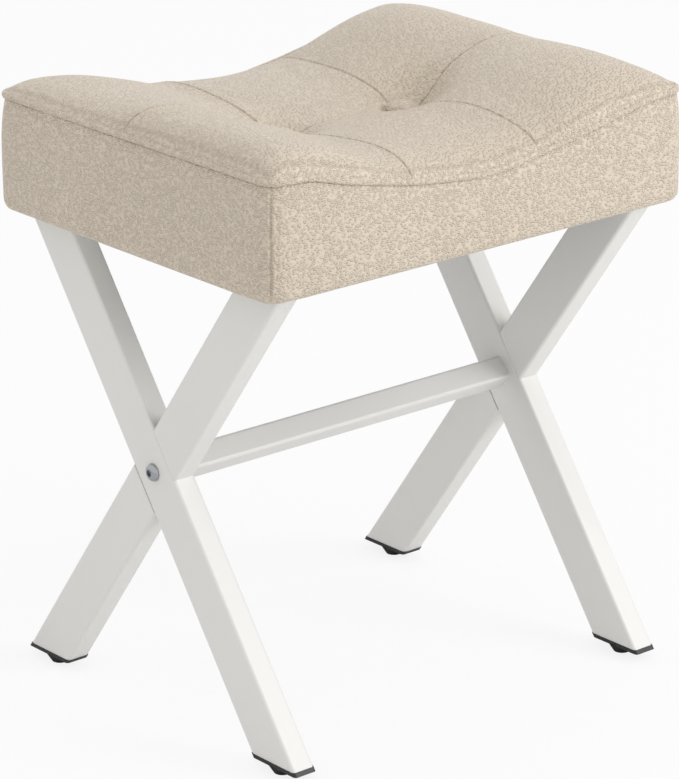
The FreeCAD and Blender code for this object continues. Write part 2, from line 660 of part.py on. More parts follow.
def above_welt():
    """Everything above the welt's line."""
    reach = seat_end + BEYOND
    y = -size("SeatDepth")
    level = leg_top + size("BoxingHeight")
    sky = level + size("SeatLength")
    edges = welt_edges(reach, y)
    edges += [line(Vector(reach, y, level), Vector(reach, y, sky)),
              line(Vector(reach, y, sky), Vector(-reach, y, sky)),
              line(Vector(-reach, y, sky), Vector(-reach, y, level))]
    return extruded(edges, Vector(0, 2 * size("SeatDepth"), 0))


def welt_path():
    """Closed line of the piping's middle, round the whole seat."""
    sunk = size("WeltWidth") / 2 - size("WeltProud")
    half_x = seat_end - size("SideBulge") - sunk
    half_y = size("SeatDepth") / 2 - size("SideBulge") - sunk
    radius = size("CornerRadius") - sunk
    level = leg_top + size("BoxingHeight")
    slack = radius * (1 - math.sqrt(0.5))
    edges = []
    for sign_x, sign_y in ((1, -1), (1, 1), (-1, 1), (-1, -1)):
        along = Vector(sign_x * (half_x - radius), sign_y * half_y, level)
        bend = Vector(sign_x * (half_x - slack), sign_y * (half_y - slack), level)
        across = Vector(sign_x * half_x, sign_y * (half_y - radius), level)
        edges.append(arc(along, bend, across))
    for sign_y in (-1, 1):
        edges += welt_edges(half_x - radius, sign_y * half_y)
    for sign_x in (-1, 1):
        edges.append(line(Vector(sign_x * half_x, radius - half_y, level),
                          Vector(sign_x * half_x, half_y - radius, level)))
    return Part.Wire(Part.__sortEdges__(edges))


def welt_tube(radius):
    """A round tube along the welt's path."""
    path = welt_path()
    first = path.OrderedEdges[0]
    start = first.valueAt(first.FirstParameter)
    profile = Part.Wire(Part.makeCircle(radius, start, first.tangentAt(first.FirstParameter)))
    tube = path.makePipeShell([profile], True, False)
    expected = math.pi * radius ** 2 * path.Length
    if abs(tube.Volume - expected) > 0.01 * expected:
        raise RuntimeError("the welt's tube has the wrong volume")
    return tube


def top_heights(x):
    """Heights of the lengthwise seam and of the crown at a distance from the middle."""
    seam = size("CrossSeam")
    if x <= seam:
        puff = math.cos(math.pi / 2 * x / seam)
        low_seam = size("SeamButtonHeight")
        low_crown = size("CrownSeamHeight")
        seam_height = low_seam + (size("SeamMiddleHeight") - low_seam) * puff
        crown_height = low_crown + (size("CrownMiddleHeight") - low_crown) * puff
    else:
        share = min(1.0, (x - seam) / (crest - seam))
        rise = math.sin(math.pi / 2 * share)
        seam_height = size("SeamButtonHeight") + (size("SeamEndHeight") - size("SeamButtonHeight")) * rise
        crown_height = size("CrownSeamHeight") + (size("CrownEndHeight") - size("CrownSeamHeight")) * rise
    return leg_top + seam_height, leg_top + crown_height


def welt_height(x):
    """Height of the welt at a distance from the middle of a long side."""
    bends = welt_bends()
    if x >= welt_run:
        return bends["level"]
    if x >= bends["meet"]:
        drop = math.sqrt(bends["end_radius"] ** 2 - (welt_run - x) ** 2)
        return bends["level"] - bends["end_radius"] + drop
    rise = bends["meet_height"] - bends["low"]
    middle_radius = (bends["meet"] ** 2 + rise ** 2) / (2 * rise)
    return bends["low"] + middle_radius - math.sqrt(middle_radius ** 2 - x ** 2)


def top_section(x, inset):
    """Half a slice across the top at x: seam to crown to welt, then down and back."""
    seam_height, crown_height = top_heights(abs(x))
    welt = welt_height(abs(x))
    edge = size("SeatDepth") / 2 - size("SideBulge") - inset
    crown = size("CrownOffset")
    floor = board_top
    rise_in = crown_height - seam_height
    rise_out = crown_height - welt
    inner_radius = (crown ** 2 + rise_in ** 2) / (2 * rise_in)
    outer_radius = ((edge + inset - crown) ** 2 + rise_out ** 2) / (2 * rise_out)
    half_in = crown / 2
    half_out = (edge - crown) / 2
    inner_drop = inner_radius - math.sqrt(inner_radius ** 2 - half_in ** 2)
    outer_drop = outer_radius - math.sqrt(outer_radius ** 2 - half_out ** 2)
    seam_point = Vector(x, 0, seam_height - inset)
    inner_point = Vector(x, crown - half_in, crown_height - inner_drop - inset)
    crown_point = Vector(x, crown, crown_height - inset)
    outer_point = Vector(x, crown + half_out, crown_height - outer_drop - inset)
    edge_point = Vector(x, edge, welt)
    return Part.Wire([line(Vector(x, 0, floor), Vector(x, edge, floor)),
                      line(Vector(x, edge, floor), edge_point),
                      arc(edge_point, outer_point, crown_point),
                      arc(crown_point, inner_point, seam_point),
                      line(seam_point, Vector(x, 0, floor))])


def top_block(stations, inset):
    """Back half of one column of panels, from the board's top face to the quilted surface."""
    block = Part.makeLoft([top_section(x, inset) for x in stations], True, False)
    half_x = seat_end - size("SideBulge") - inset
    roll = size("TopRoll") - inset
    summit = leg_top + size("CrownEndHeight") - inset
    slack = roll * (1 - math.sqrt(0.5))
    y = -BEYOND
    spots = [Vector(-half_x, y, board_top), Vector(half_x, y, board_top),
             Vector(half_x, y, summit - roll), Vector(half_x - slack, y, summit - slack),
             Vector(half_x - roll, y, summit), Vector(roll - half_x, y, summit),
             Vector(slack - half_x, y, summit - slack), Vector(-half_x, y, summit - roll)]
    ends = extruded([line(spots[0], spots[1]), line(spots[1], spots[2]),
                     arc(spots[2], spots[3], spots[4]), line(spots[4], spots[5]),
                     arc(spots[5], spots[6], spots[7]), line(spots[7], spots[0])],
                    Vector(0, size("SeatDepth"), 0))
    corners = rounded_prism(half_x, size("SeatDepth") / 2 - size("SideBulge") - inset,
                            size("CornerRadius") - inset, board_top, size("SeatLength"))
    return block.common(ends).common(corners)


def column_stations(column):
    """Where the slices of a column of panels lie."""
    seam = size("CrossSeam")
    if column == "middle":
        return [seam * share for share in (-1, -0.5, 0, 0.5, 1)]
    inner = [seam + (crest - seam) * share for share in (0, 0.25, 0.5, 0.75, 1)]
    return inner + [seat_end + BEYOND / 2]


def boxing_wedge(side):
    """The part of the plan that one boxing panel takes, split at the corners."""
    reach_x = seat_end + BEYOND
    reach_y = size("SeatDepth") / 2 + BEYOND
    deep = size("ReturnWidth") + 2 * BEYOND
    if side in DEPTHS:
        sign = DEPTHS[side]
        plan = [(-reach_x, sign * reach_y), (reach_x, sign * reach_y),
                (reach_x - deep, sign * (reach_y - deep)), (deep - reach_x, sign * (reach_y - deep))]
    else:
        sign = SIDES[side]
        plan = [(sign * reach_x, -reach_y), (sign * reach_x, reach_y),
                (sign * (reach_x - deep), reach_y - deep), (sign * (reach_x - deep), deep - reach_y)]
    corners = [Vector(x, y, leg_top - BEYOND) for x, y in plan]
    outline = Part.makePolygon(corners + corners[:1])
    return Part.Face(outline).extrude(Vector(0, 0, size("BoxingHeight") + 2 * BEYOND))


def button_shape():
    """A covered button, origin in the middle of its flat underside."""
    radius = size("ButtonWidth") / 2
    rim = size("ButtonRim")
    dome = size("ButtonDome")
    ball = (radius ** 2 + dome ** 2) / (2 * dome)
    lean = math.asin(radius / ball) / 2
    bend = Vector(ball * math.sin(lean), 0, rim + dome - ball + ball * math.cos(lean))
    outline = [line(Vector(0, 0, 0), Vector(radius, 0, 0)),
               line(Vector(radius, 0, 0), Vector(radius, 0, rim)),
               arc(Vector(radius, 0, rim), bend, Vector(0, 0, rim + dome)),
               line(Vector(0, 0, rim + dome), Vector(0, 0, 0))]
    return Part.Face(Part.Wire(outline)).revolve(Vector(), Vector(0, 0, 1), 360)


def build_cover_and_foam():
    """Leather panels, piping, foam and buttons of the seat."""
    sky = above_welt()
    piping = welt_tube(size("WeltWidth") / 2)
    button_base = leg_top + size("SeamButtonHeight")
    pocket = Part.makeCylinder(size("ButtonWidth") / 2, size("BoxingHeight"))
    tie_places = [Vector(sign * size("CrossSeam"), 0, 0) for sign in (-1, 1)]
    pockets = at_places(pocket, tie_places, button_base)

    foam_pieces = [boxing_block(size("Leather")).cut(sky)]
    for column in ("middle", "right"):
        stations = column_stations(column)
        outer = top_block(stations, 0)
        inner = top_block(stations, size("Leather"))
        skin = outer.cut(inner).cut(piping).common(sky).cut(pockets)
        for side, along_x in (("middle", 1),) if column == "middle" else SIDES.items():
            for depth, along_y in DEPTHS.items():
                add_feature(f"top_panel_{side}_{depth}", mirrored(skin, along_x, along_y))
                foam_pieces.append(mirrored(inner, along_x, along_y))

    foam = foam_pieces[0].multiFuse(foam_pieces[1:])
    board_space = rounded_prism(seat_end - size("BoardInset"),
                                size("SeatDepth") / 2 - size("BoardInset"),
                                size("BoardCorner"), leather_base, board_top - leather_base)
    flange = Part.makeCylinder(size("TeeFlangeWidth") / 2, size("TeeFlangeThick"))
    tie = Part.makeCylinder(size("TieWidth") / 2, size("BoxingHeight"))
    foam = foam.cut(board_space).cut(at_places(flange, seat_bolt_places(), board_top))
    foam = foam.cut(at_places(tie, tie_places, board_top)).cut(pockets)
    foam = foam.cut(welt_tube(size("WeltWidth") / 2 + size("SoftPlay")))
    add_feature("seat_foam", foam)

    half_x = seat_end - size("SideBulge") - size("ReturnWidth")
    half_y = size("SeatDepth") / 2 - size("SideBulge") - size("ReturnWidth")
    opening = Part.makeBox(2 * half_x, 2 * half_y, size("BoxingHeight"),
                           Vector(-half_x, -half_y, leg_top))
    shell = boxing_block(0).cut(boxing_block(size("Leather"))).cut(sky).cut(piping).cut(opening)
    bolt_hole = Part.makeCylinder(size("SeatBoltSize") / 2 + size("BoltPlay"), BEYOND)
    shell = shell.cut(at_places(bolt_hole, seat_bolt_places(), leg_top))
    for side in ("front", "back", "left", "right"):
        add_feature(f"boxing_{side}", shell.common(boxing_wedge(side)))

    core = welt_tube(size("CordWidth") / 2)
    add_feature("welt_piping", piping.cut(core))
    add_feature("welt_cord", core)
    for side, sign in SIDES.items():
        add_feature(f"{side}_button", button_shape(),
                    Placement(Vector(sign * size("CrossSeam"), 0, button_base), Rotation()))


def staple():
    """A staple with its back down and its legs up, origin in the middle of its back's top face."""
    wide = size("StapleWidth")
    wire = size("StapleWire")
    leg = size("StapleLeg")
    back = Part.makeBox(wide, wire, wire, Vector(-wide / 2, -wire / 2, -wire))
    left = Part.makeBox(wire, wire, leg, Vector(-wide / 2, -wire / 2, 0))
    right = Part.makeBox(wire, wire, leg, Vector(wide / 2 - wire, -wire / 2, 0))
    return back.multiFuse([left, right]).removeSplitter()


def build_staples():
    """Staples through the dust cover and the turned-under leather."""
    inside = size("ReturnWidth") / 2 + size("SideBulge")
    long_y = size("SeatDepth") / 2 - size("DustInset") - size("StapleWidth") / 2
    end_x = frame_out - size("PlateWidth") - size("StapleWire") - size("StapleGap")
    pitch = size("StaplePitch")
    copies = []
    count_x = int((end_x - size("StapleWidth")) // pitch)
    for index in range(-count_x, count_x + 1):
        for sign in (-1, 1):
            copy = staple()
            copy.translate(Vector(index * pitch, sign * long_y, leg_top))
            copies.append(copy)
    count_y = int((long_y - inside) // pitch)
    for index in range(-count_y, count_y + 1):
        for sign in (-1, 1):
            copy = staple()
            copy.rotate(Vector(), Vector(0, 0, 1), 90)
            copy.translate(Vector(sign * end_x, index * pitch, leg_top))
            copies.append(copy)
    add_feature("cover_staples", Part.makeCompound(copies))


build_board()
build_dust_cover()
for frame_side in SIDES:
    build_frame(frame_side)
    build_seat_plate(frame_side)
    build_insert(frame_side)
    build_tie(frame_side)
    for frame_depth in DEPTHS:
        build_end_cap(frame_side, frame_depth)
        build_foot(frame_side, frame_depth)
build_stretcher()
build_fasteners()
doc.recompute()
build_cover_and_foam()
build_staples()
doc.recompute()

for item in doc.Objects:
    if "Invalid" in item.State or "Error" in item.State:
        raise RuntimeError(f"{item.Label} failed: {item.State}")

os.makedirs("parts", exist_ok=True)
for label, node in NODES.items():
    shape = node.Shape
    if shape.isNull() or not shape.isValid():
        raise RuntimeError(f"{label} has no valid shape")
    shape.exportStep(f"parts/{label}.step")
    print(f"{label}: {len(shape.Solids)} solids, {len(shape.Faces)} faces, {shape.Volume:.0f} mm3")
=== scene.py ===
"""A vanity stool: a quilted cushion with a dipped top, on two crossed legs that a stretcher joins.

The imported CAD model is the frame. The frame's legs, stretcher, bolts and feet are shown as they are,
and the soft pieces, whose CAD solids are plain, are made here again in full form. Names that end in
_mm are millimetres above the floor or from the middle of the seat; everything else is in metres.
"""

import json
import logging
import math
from dataclasses import dataclass
from enum import Enum
from typing import Any, Iterable, Mapping, Sequence

import bmesh
import bpy
import numpy as np
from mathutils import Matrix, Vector

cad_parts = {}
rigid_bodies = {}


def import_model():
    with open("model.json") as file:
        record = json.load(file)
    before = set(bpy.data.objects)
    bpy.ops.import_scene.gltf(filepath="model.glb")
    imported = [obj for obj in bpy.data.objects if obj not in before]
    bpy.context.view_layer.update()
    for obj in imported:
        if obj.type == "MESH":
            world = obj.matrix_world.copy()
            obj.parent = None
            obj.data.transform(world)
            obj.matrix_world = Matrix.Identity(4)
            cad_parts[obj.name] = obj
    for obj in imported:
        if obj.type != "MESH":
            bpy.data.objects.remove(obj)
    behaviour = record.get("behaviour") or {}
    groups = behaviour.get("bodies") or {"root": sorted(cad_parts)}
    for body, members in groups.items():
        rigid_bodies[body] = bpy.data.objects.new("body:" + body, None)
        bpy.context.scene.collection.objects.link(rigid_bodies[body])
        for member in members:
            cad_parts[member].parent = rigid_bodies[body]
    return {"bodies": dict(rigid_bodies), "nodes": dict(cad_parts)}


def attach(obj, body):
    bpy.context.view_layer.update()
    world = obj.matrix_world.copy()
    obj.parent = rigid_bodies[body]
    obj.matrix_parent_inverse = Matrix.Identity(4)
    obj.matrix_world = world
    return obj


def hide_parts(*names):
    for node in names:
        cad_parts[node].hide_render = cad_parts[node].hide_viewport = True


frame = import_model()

MM = 0.001
BODY = "stool"
LOG = logging.getLogger("vanity_stool")
Colour = tuple[float, float, float, float]


class Slot(Enum):
    """The record's material slots."""

    LEATHER = "beige_leather"
    FOAM = "seat_foam"
    PLYWOOD = "plywood"
    NONWOVEN = "black_nonwoven"
    CORD = "tufting_cord"
    POWDER_COAT = "white_powder_coat"
    CHROME = "chrome_bolt"
    ZINC = "zinc_steel"
    PLASTIC = "black_plastic"
    RUBBER = "black_rubber"


def srgb(red: float, green: float, blue: float) -> Colour:
    """A colour as a screen shows it, 0 to 255, turned into the linear one that shaders take."""

    def linear(value: float) -> float:
        part = value / 255
        return part / 12.92 if part <= 0.04045 else ((part + 0.055) / 1.055) ** 2.4

    return (linear(red), linear(green), linear(blue), 1.0)


def toned(colour: Colour, gain: float, lift: float = 0.0) -> Colour:
    """A colour made darker or paler, never past white."""
    return tuple(min(1.0, part * gain + lift) for part in colour[:3]) + (1.0,)


# Node trees


class Wire:
    """An output socket that Python's operators work on. Each operator adds one Math node."""

    def __init__(self, graph: "Graph", socket: bpy.types.NodeSocket) -> None:
        """Keeps the socket and the graph that it belongs to."""
        self.graph = graph
        self.socket = socket

    def other(self, name: str | int) -> "Wire":
        """Another output of the same node."""
        return Wire(self.graph, self.socket.node.outputs[name])

    def math(self, operation: str, *values: "Wire | float") -> "Wire":
        """A Math node on these values."""
        return self.graph.add("ShaderNodeMath", {"operation": operation}, dict(enumerate(values)))

    def __add__(self, value: "Wire | float") -> "Wire":
        """self + value."""
        return self.math("ADD", self, value)

    def __radd__(self, value: float) -> "Wire":
        """value + self."""
        return self.math("ADD", value, self)

    def __sub__(self, value: "Wire | float") -> "Wire":
        """self - value."""
        return self.math("SUBTRACT", self, value)

    def __rsub__(self, value: float) -> "Wire":
        """value - self."""
        return self.math("SUBTRACT", value, self)

    def __mul__(self, value: "Wire | float") -> "Wire":
        """self * value."""
        return self.math("MULTIPLY", self, value)

    def __rmul__(self, value: float) -> "Wire":
        """value * self."""
        return self.math("MULTIPLY", value, self)

    def __truediv__(self, value: "Wire | float") -> "Wire":
        """self / value."""
        return self.math("DIVIDE", self, value)

    def __pow__(self, value: float) -> "Wire":
        """self to the power of value."""
        return self.math("POWER", self, value)

    def band(self, low: float, high: float) -> "Wire":
        """0 below low, 1 above high, and smooth between them."""
        return self.graph.add(
            "ShaderNodeMapRange",
            {"interpolation_type": "SMOOTHSTEP"},
            {"Value": self, "From Min": low, "From Max": high},
        )


class Graph:
    """A shader or geometry tree that is built by adding nodes and wiring them in the same call."""

    def __init__(self, tree: bpy.types.NodeTree) -> None:
        """Keeps the tree."""
        self.tree = tree

    def add(
        self,
        kind: str,
        settings: Mapping[str, Any] | None = None,
        inputs: Mapping[str | int, Any] | None = None,
        out: str | int = 0,
    ) -> Wire:
        """Adds a node, then its settings, then its values and links.

        Args:
            kind: the node's type.
            settings: the node's own properties.
            inputs: a value or a Wire for each socket, by the socket's name or number.
            out: the output to hand back.

        Returns:
            The chosen output.
        """
        node = self.tree.nodes.new(kind)
        for name, value in (settings or {}).items():
            setattr(node, name, value)
        for key, value in (inputs or {}).items():
            socket = node.inputs[key]
            if isinstance(value, Wire):
                self.tree.links.new(value.socket, socket)
            else:
                socket.default_value = value
        return Wire(self, node.outputs[out] if len(node.outputs) else node.inputs[0])


class ShaderGraph(Graph):
    """A material's tree, with the patterns that several finishes share."""

    def __init__(self, material: bpy.types.Material) -> None:
        """Empties the material's tree."""
        material.use_nodes = True
        material.node_tree.nodes.clear()
        super().__init__(material.node_tree)

    def place(self, scale: tuple[float, float, float] = (1, 1, 1), turn: float = 0.0) -> Wire:
        """Object coordinates, scaled and turned about Z."""
        coordinates = self.add("ShaderNodeTexCoord", out="Object")
        return self.add(
            "ShaderNodeMapping", None, {"Vector": coordinates, "Scale": scale, "Rotation": (0, 0, turn)}
        )

    def noise(self, vector: Wire, scale: float, detail: float = 2.0, rough: float = 0.5) -> Wire:
        """Noise from 0 to 1 with that many bumps to the metre."""
        inputs = {"Vector": vector, "Scale": scale, "Detail": detail, "Roughness": rough}
        return self.add("ShaderNodeTexNoise", None, inputs)

    def mix(self, factor: Wire | float, first: Any, second: Any) -> Wire:
        """Mixes two colours."""
        return self.add("ShaderNodeMix", {"data_type": "RGBA"}, {0: factor, 6: first, 7: second}, out=2)

    def bump(self, height: Wire, distance: float, strength: float = 1.0) -> Wire:
        """A normal from a height of 0 to 1 that stands for that many metres."""
        inputs = {"Height": height, "Distance": distance, "Strength": strength}
        return self.add("ShaderNodeBump", None, inputs)

    def pores(self, vector: Wire, scale: float, randomness: float = 1.0) -> Wire:
        """Distance from the middle of the nearest cell, with that many cells to the metre."""
        inputs = {"Vector": vector, "Scale": scale, "Randomness": randomness}
        return self.add("ShaderNodeTexVoronoi", {"feature": "F1"}, inputs)

    def surface(self, **sockets: Any) -> None:
        """Ends the tree in a Principled shader; words of a socket's name are joined by underscores."""
        inputs = {name.replace("_", " "): value for name, value in sockets.items()}
        shader = self.add("ShaderNodeBsdfPrincipled", None, inputs)
        self.add("ShaderNodeOutputMaterial", None, {"Surface": shader})


# Finishes


@dataclass(frozen=True)
class Finish:
    """What every finish has: a name, a colour and how rough it is."""

    name: str
    colour: Colour
    roughness: float

    def material(self) -> bpy.types.Material:
        """The finish as a new material."""
        material = bpy.data.materials.new(self.name)
        material.diffuse_color = self.colour
        self.build(ShaderGraph(material))
        return material

    def build(self, graph: ShaderGraph) -> None:
        """Fills the material's tree."""
        raise NotImplementedError


@dataclass(frozen=True)
class GrainedLeather(Finish):
    """Soft upholstery leather with an embossed pebble grain, with painted shade in its seams and in the furrows of
    the grain.
    """

    # painted shade: the colour that the seams and the grain's furrows are darkened towards
    painted_shade_colour: Colour = srgb(132, 112, 88)
    grains_per_metre: float = 390.0
    grain_depth: float = 0.0013

    def build(self, graph: ShaderGraph) -> None:
        """Pebbles with fine furrows between them, with painted shade in the furrows and the seams, on leather that
        varies a little in tone.
        """
        place = graph.place(scale=(1, 1, 1.6))
        drift = graph.add(
            "ShaderNodeVectorMath",
            {"operation": "SCALE"},
            {0: graph.noise(place, 150, 2.0).other("Color"), "Scale": 0.0016},
        )
        bent = graph.add("ShaderNodeVectorMath", {"operation": "ADD"}, {0: place, 1: drift})
        pebbles = 1 - graph.pores(bent, self.grains_per_metre).band(0.05, 0.75)
        fine = graph.noise(place, 900, 2.0, 0.6)
        height = pebbles * 0.85 + fine * 0.15
        broad = graph.noise(graph.place(), 9, 3.0)
        tone = graph.mix(broad.band(0.3, 0.7) * 0.35, self.colour, toned(self.colour, 0.9))
        # painted shade in the furrows between the pebbles
        tone = graph.mix((1 - pebbles) * 0.10, tone, self.painted_shade_colour)
        # painted shade in the seams, from the mesh attribute that marks them
        painted_seam_shade = graph.add("ShaderNodeAttribute", {"attribute_name": "painted_seam_shade"}, out="Fac")
        tone = graph.mix(painted_seam_shade * 0.4, tone, self.painted_shade_colour)
        graph.surface(
            Base_Color=tone,
            Roughness=self.roughness + fine * 0.08,
            Specular_IOR_Level=0.5,
            Normal=graph.bump(height, self.grain_depth, 1.0),
        )


@dataclass(frozen=True)
class PowderCoat(Finish):
    """Sprayed and baked paint with a faint orange peel."""

    peel_per_metre: float = 700.0

    def build(self, graph: ShaderGraph) -> None:
        """A low, soft ripple and a very slight change of tone."""
        place = graph.place()
        peel = graph.noise(place, self.peel_per_metre, 1.0)
        grit = graph.noise(place, 5200, 2.0)
        broad = graph.noise(place, 6, 2.0)
        shade = toned(self.colour, 0.965)
        graph.surface(
            Base_Color=graph.mix(broad.band(0.35, 0.7) * 0.5, self.colour, shade),
            Roughness=self.roughness + grit * 0.08,
            Coat_Weight=0.15,
            Normal=graph.bump(peel * 0.8 + grit * 0.2, 0.00004, 0.6),
        )


@dataclass(frozen=True)
class Metal(Finish):
    """Plated steel, from bright chrome to satin zinc."""

    spangle: float = 0.0

    def build(self, graph: ShaderGraph) -> None:
        """Fine turning marks and, on zinc, a mottled tone."""
        marks = graph.noise(graph.place(), 1600, 2.0)
        mottle = graph.noise(graph.place(), 420, 3.0)
        shade = toned(self.colour, 1 - self.spangle)
        graph.surface(
            Base_Color=graph.mix(mottle.band(0.35, 0.65), self.colour, shade),
            Metallic=1.0,
            Roughness=self.roughness + marks * 0.06,
            Normal=graph.bump(marks, 0.00002, 0.3),
        )


@dataclass(frozen=True)
class Moulded(Finish):
    """Moulded plastic or rubber with a fine spark-eroded skin."""

    skin_depth: float = 0.00003

    def build(self, graph: ShaderGraph) -> None:
        """A fine even texture and light scuffs."""
        place = graph.place()
        skin = graph.noise(place, 3800, 2.0)
        scuffs = graph.noise(place, 90, 4.0).band(0.55, 0.75)
        pale = toned(self.colour, 1.7, 0.006)
        graph.surface(
            Base_Color=graph.mix(scuffs * 0.4, self.colour, pale),
            Roughness=self.roughness + scuffs * 0.12,
            Normal=graph.bump(skin, self.skin_depth, 0.6),
        )


@dataclass(frozen=True)
class Plywood(Finish):
    """Rotary-cut veneers: long grain on the faces, thin light and dark plies at the edges."""

    dark: Colour = srgb(150, 108, 66)
    ply: float = 0.0017

    def build(self, graph: ShaderGraph) -> None:
        """Grain drawn out along X, and plies stacked along Z."""
        grain = graph.noise(graph.place(scale=(3, 90, 1)), 6, 4.0, 0.65)
        height = graph.add("ShaderNodeSeparateXYZ", None, {"Vector": graph.place()}, out="Z")
        plies = (height * (math.pi / self.ply)).math("SINE", height * (math.pi / self.ply)).band(-0.2, 0.2)
        tone = graph.mix(grain.band(0.35, 0.7) * 0.6, self.colour, self.dark)
        graph.surface(
            Base_Color=graph.mix(plies * 0.25, tone, self.dark),
            Roughness=self.roughness,
            Normal=graph.bump(grain, 0.0002, 0.5),
        )


@dataclass(frozen=True)
class NonWoven(Finish):
    """Spun-bonded black lining with its grid of welded dimples."""

    dimple_pitch: float = 0.0025

    def build(self, graph: ShaderGraph) -> None:
        """Dimples on a slanting grid over tangled fibres."""
        place = graph.place(turn=math.radians(45))
        dimples = graph.pores(place, 1 / self.dimple_pitch, randomness=0.0).band(0.2, 0.34)
        fibres = graph.noise(graph.place(scale=(1, 3, 1)), 1700, 4.0, 0.7)
        pale = toned(self.colour, 2.4, 0.004)
        graph.surface(
            Base_Color=graph.mix(fibres.band(0.4, 0.75) * dimples * 0.6, self.colour, pale),
            Roughness=self.roughness,
            Normal=graph.bump(dimples * 0.7 + fibres * 0.3, 0.00015, 0.8),
        )


@dataclass(frozen=True)
class Foam(Finish):
    """Cut upholstery foam, full of small open cells."""

    cells_per_metre: float = 900.0

    def build(self, graph: ShaderGraph) -> None:
        """Round pores with painted shade inside them."""
        pores = graph.pores(graph.place(), self.cells_per_metre)
        # painted shade inside the pores
        dark = toned(self.colour, 0.6)
        graph.surface(
            Base_Color=graph.mix((1 - pores.band(0.1, 0.5)) * 0.6, self.colour, dark),
            Roughness=self.roughness,
            Normal=graph.bump(pores, 0.0004, 0.8),
        )


@dataclass(frozen=True)
class TwistedCord(Finish):
    """Cotton cord whose strands wind round it."""

    strands_per_metre: float = 420.0

    def build(self, graph: ShaderGraph) -> None:
        """Slanting bands for the strands, with loose fibres on them and painted shade in the grooves between them.
        """
        strands = graph.add(
            "ShaderNodeTexWave",
            {"wave_type": "BANDS", "bands_direction": "DIAGONAL"},
            {"Vector": graph.place(), "Scale": self.strands_per_metre, "Distortion": 1.0},
        )
        fibres = graph.noise(graph.place(), 3000, 2.0)
        # painted shade in the grooves between the strands
        dark = toned(self.colour, 0.7)
        graph.surface(
            Base_Color=graph.mix((1 - strands) * 0.5, self.colour, dark),
            Roughness=self.roughness,
            Normal=graph.bump(strands * 0.7 + fibres * 0.3, 0.0003, 0.8),
        )


FINISHES: dict[Slot, Finish] = {
    Slot.LEATHER: GrainedLeather("beige_leather_grained", srgb(223, 209, 190), 0.34),
    Slot.FOAM: Foam("seat_foam_open_cell", srgb(226, 214, 170), 0.9),
    Slot.PLYWOOD: Plywood("board_plywood", srgb(206, 168, 118), 0.62),
    Slot.NONWOVEN: NonWoven("under_seat_nonwoven", srgb(22, 22, 24), 0.85),
    Slot.CORD: TwistedCord("cotton_tufting_cord", srgb(214, 206, 188), 0.85),
    Slot.POWDER_COAT: PowderCoat("white_powder_coat_satin", srgb(228, 227, 223), 0.36),
    Slot.CHROME: Metal("bright_chrome", srgb(168, 169, 173), 0.08, spangle=0.02),
    Slot.ZINC: Metal("satin_zinc", srgb(190, 192, 196), 0.32, spangle=0.16),
    Slot.PLASTIC: Moulded("black_moulded_plastic", srgb(24, 24, 26), 0.42),
    Slot.RUBBER: Moulded("black_foot_rubber", srgb(30, 29, 29), 0.7, skin_depth=0.00006),
}


class Palette:
    """One material for each slot of the record."""

    def __init__(self, finishes: Mapping[Slot, Finish]) -> None:
        """Builds every finish once."""
        self.materials = {slot: finish.material() for slot, finish in finishes.items()}

    def dress(self, obj: bpy.types.Object, slot: Slot) -> None:
        """Gives a new piece its material."""
        obj.data.materials.clear()
        obj.data.materials.append(self.materials[slot])

    def dress_nodes(self, nodes: Iterable[bpy.types.Object]) -> None:
        """Puts the finishes on the CAD nodes, by the slot that each was packed with."""
        for node in nodes:
            for place in node.material_slots:
                place.material = self.materials[Slot(place.material.name.split(".")[0])]


# Meshes


def grid_faces(rows: int, columns: int, wrap_rows: bool = False, wrap_columns: bool = False) -> np.ndarray:
    """Quads of a grid whose points run along the columns first, with the corners in turn."""
    row, column = np.meshgrid(
        np.arange(rows - (not wrap_rows)), np.arange(columns - (not wrap_columns)), indexing="ij"
    )
    next_row, next_column = (row + 1) % rows, (column + 1) % columns
    corners = [row * columns + column, next_row * columns + column]
    corners += [next_row * columns + next_column, row * columns + next_column]
    return np.stack([corner.ravel() for corner in corners], axis=1)


def make_object(
    name: str,
    points_mm: np.ndarray,
    faces: Iterable[Sequence[int]],
    attributes: Mapping[str, np.ndarray] | None = None,
    edges: Iterable[Sequence[int]] = (),
) -> bpy.types.Object:
    """A smooth mesh object at the origin.

    Args:
        name: the piece's name.
        points_mm: its points, in millimetres.
        faces: the numbers of the points round each face.
        attributes: one number for each point, by the attribute's name.
        edges: the numbers of the points of each loose edge.

    Returns:
        The new object.
    """
    mesh = bpy.data.meshes.new(name)
    mesh.from_pydata((np.asarray(points_mm) * MM).tolist(), [list(e) for e in edges], [list(f) for f in faces])
    mesh.validate()
    for attribute, values in (attributes or {}).items():
        layer = mesh.attributes.new(attribute, "FLOAT", "POINT")
        layer.data.foreach_set("value", np.asarray(values, np.float32))
    if mesh.polygons:
        mesh.shade_smooth()
    obj = bpy.data.objects.new(name, mesh)
    bpy.context.scene.collection.objects.link(obj)
    return obj


def baked(obj: bpy.types.Object) -> None:
    """Swaps the object's mesh for what its modifiers make of it, and drops them."""
    bpy.context.view_layer.update()
    graph = bpy.context.evaluated_depsgraph_get()
    result = bpy.data.meshes.new_from_object(obj.evaluated_get(graph), depsgraph=graph)
    obj.modifiers.clear()
    source, obj.data = obj.data, result
    result.name = obj.name
    bpy.data.meshes.remove(source)


def facing_out(obj: bpy.types.Object) -> None:
    """Merges doubles and turns every face of a closed mesh outwards."""
    mesh = bmesh.new()
    mesh.from_mesh(obj.data)
    bmesh.ops.remove_doubles(mesh, verts=mesh.verts, dist=1e-6)
    bmesh.ops.recalc_face_normals(mesh, faces=mesh.faces)
    mesh.to_mesh(obj.data)
    mesh.free()


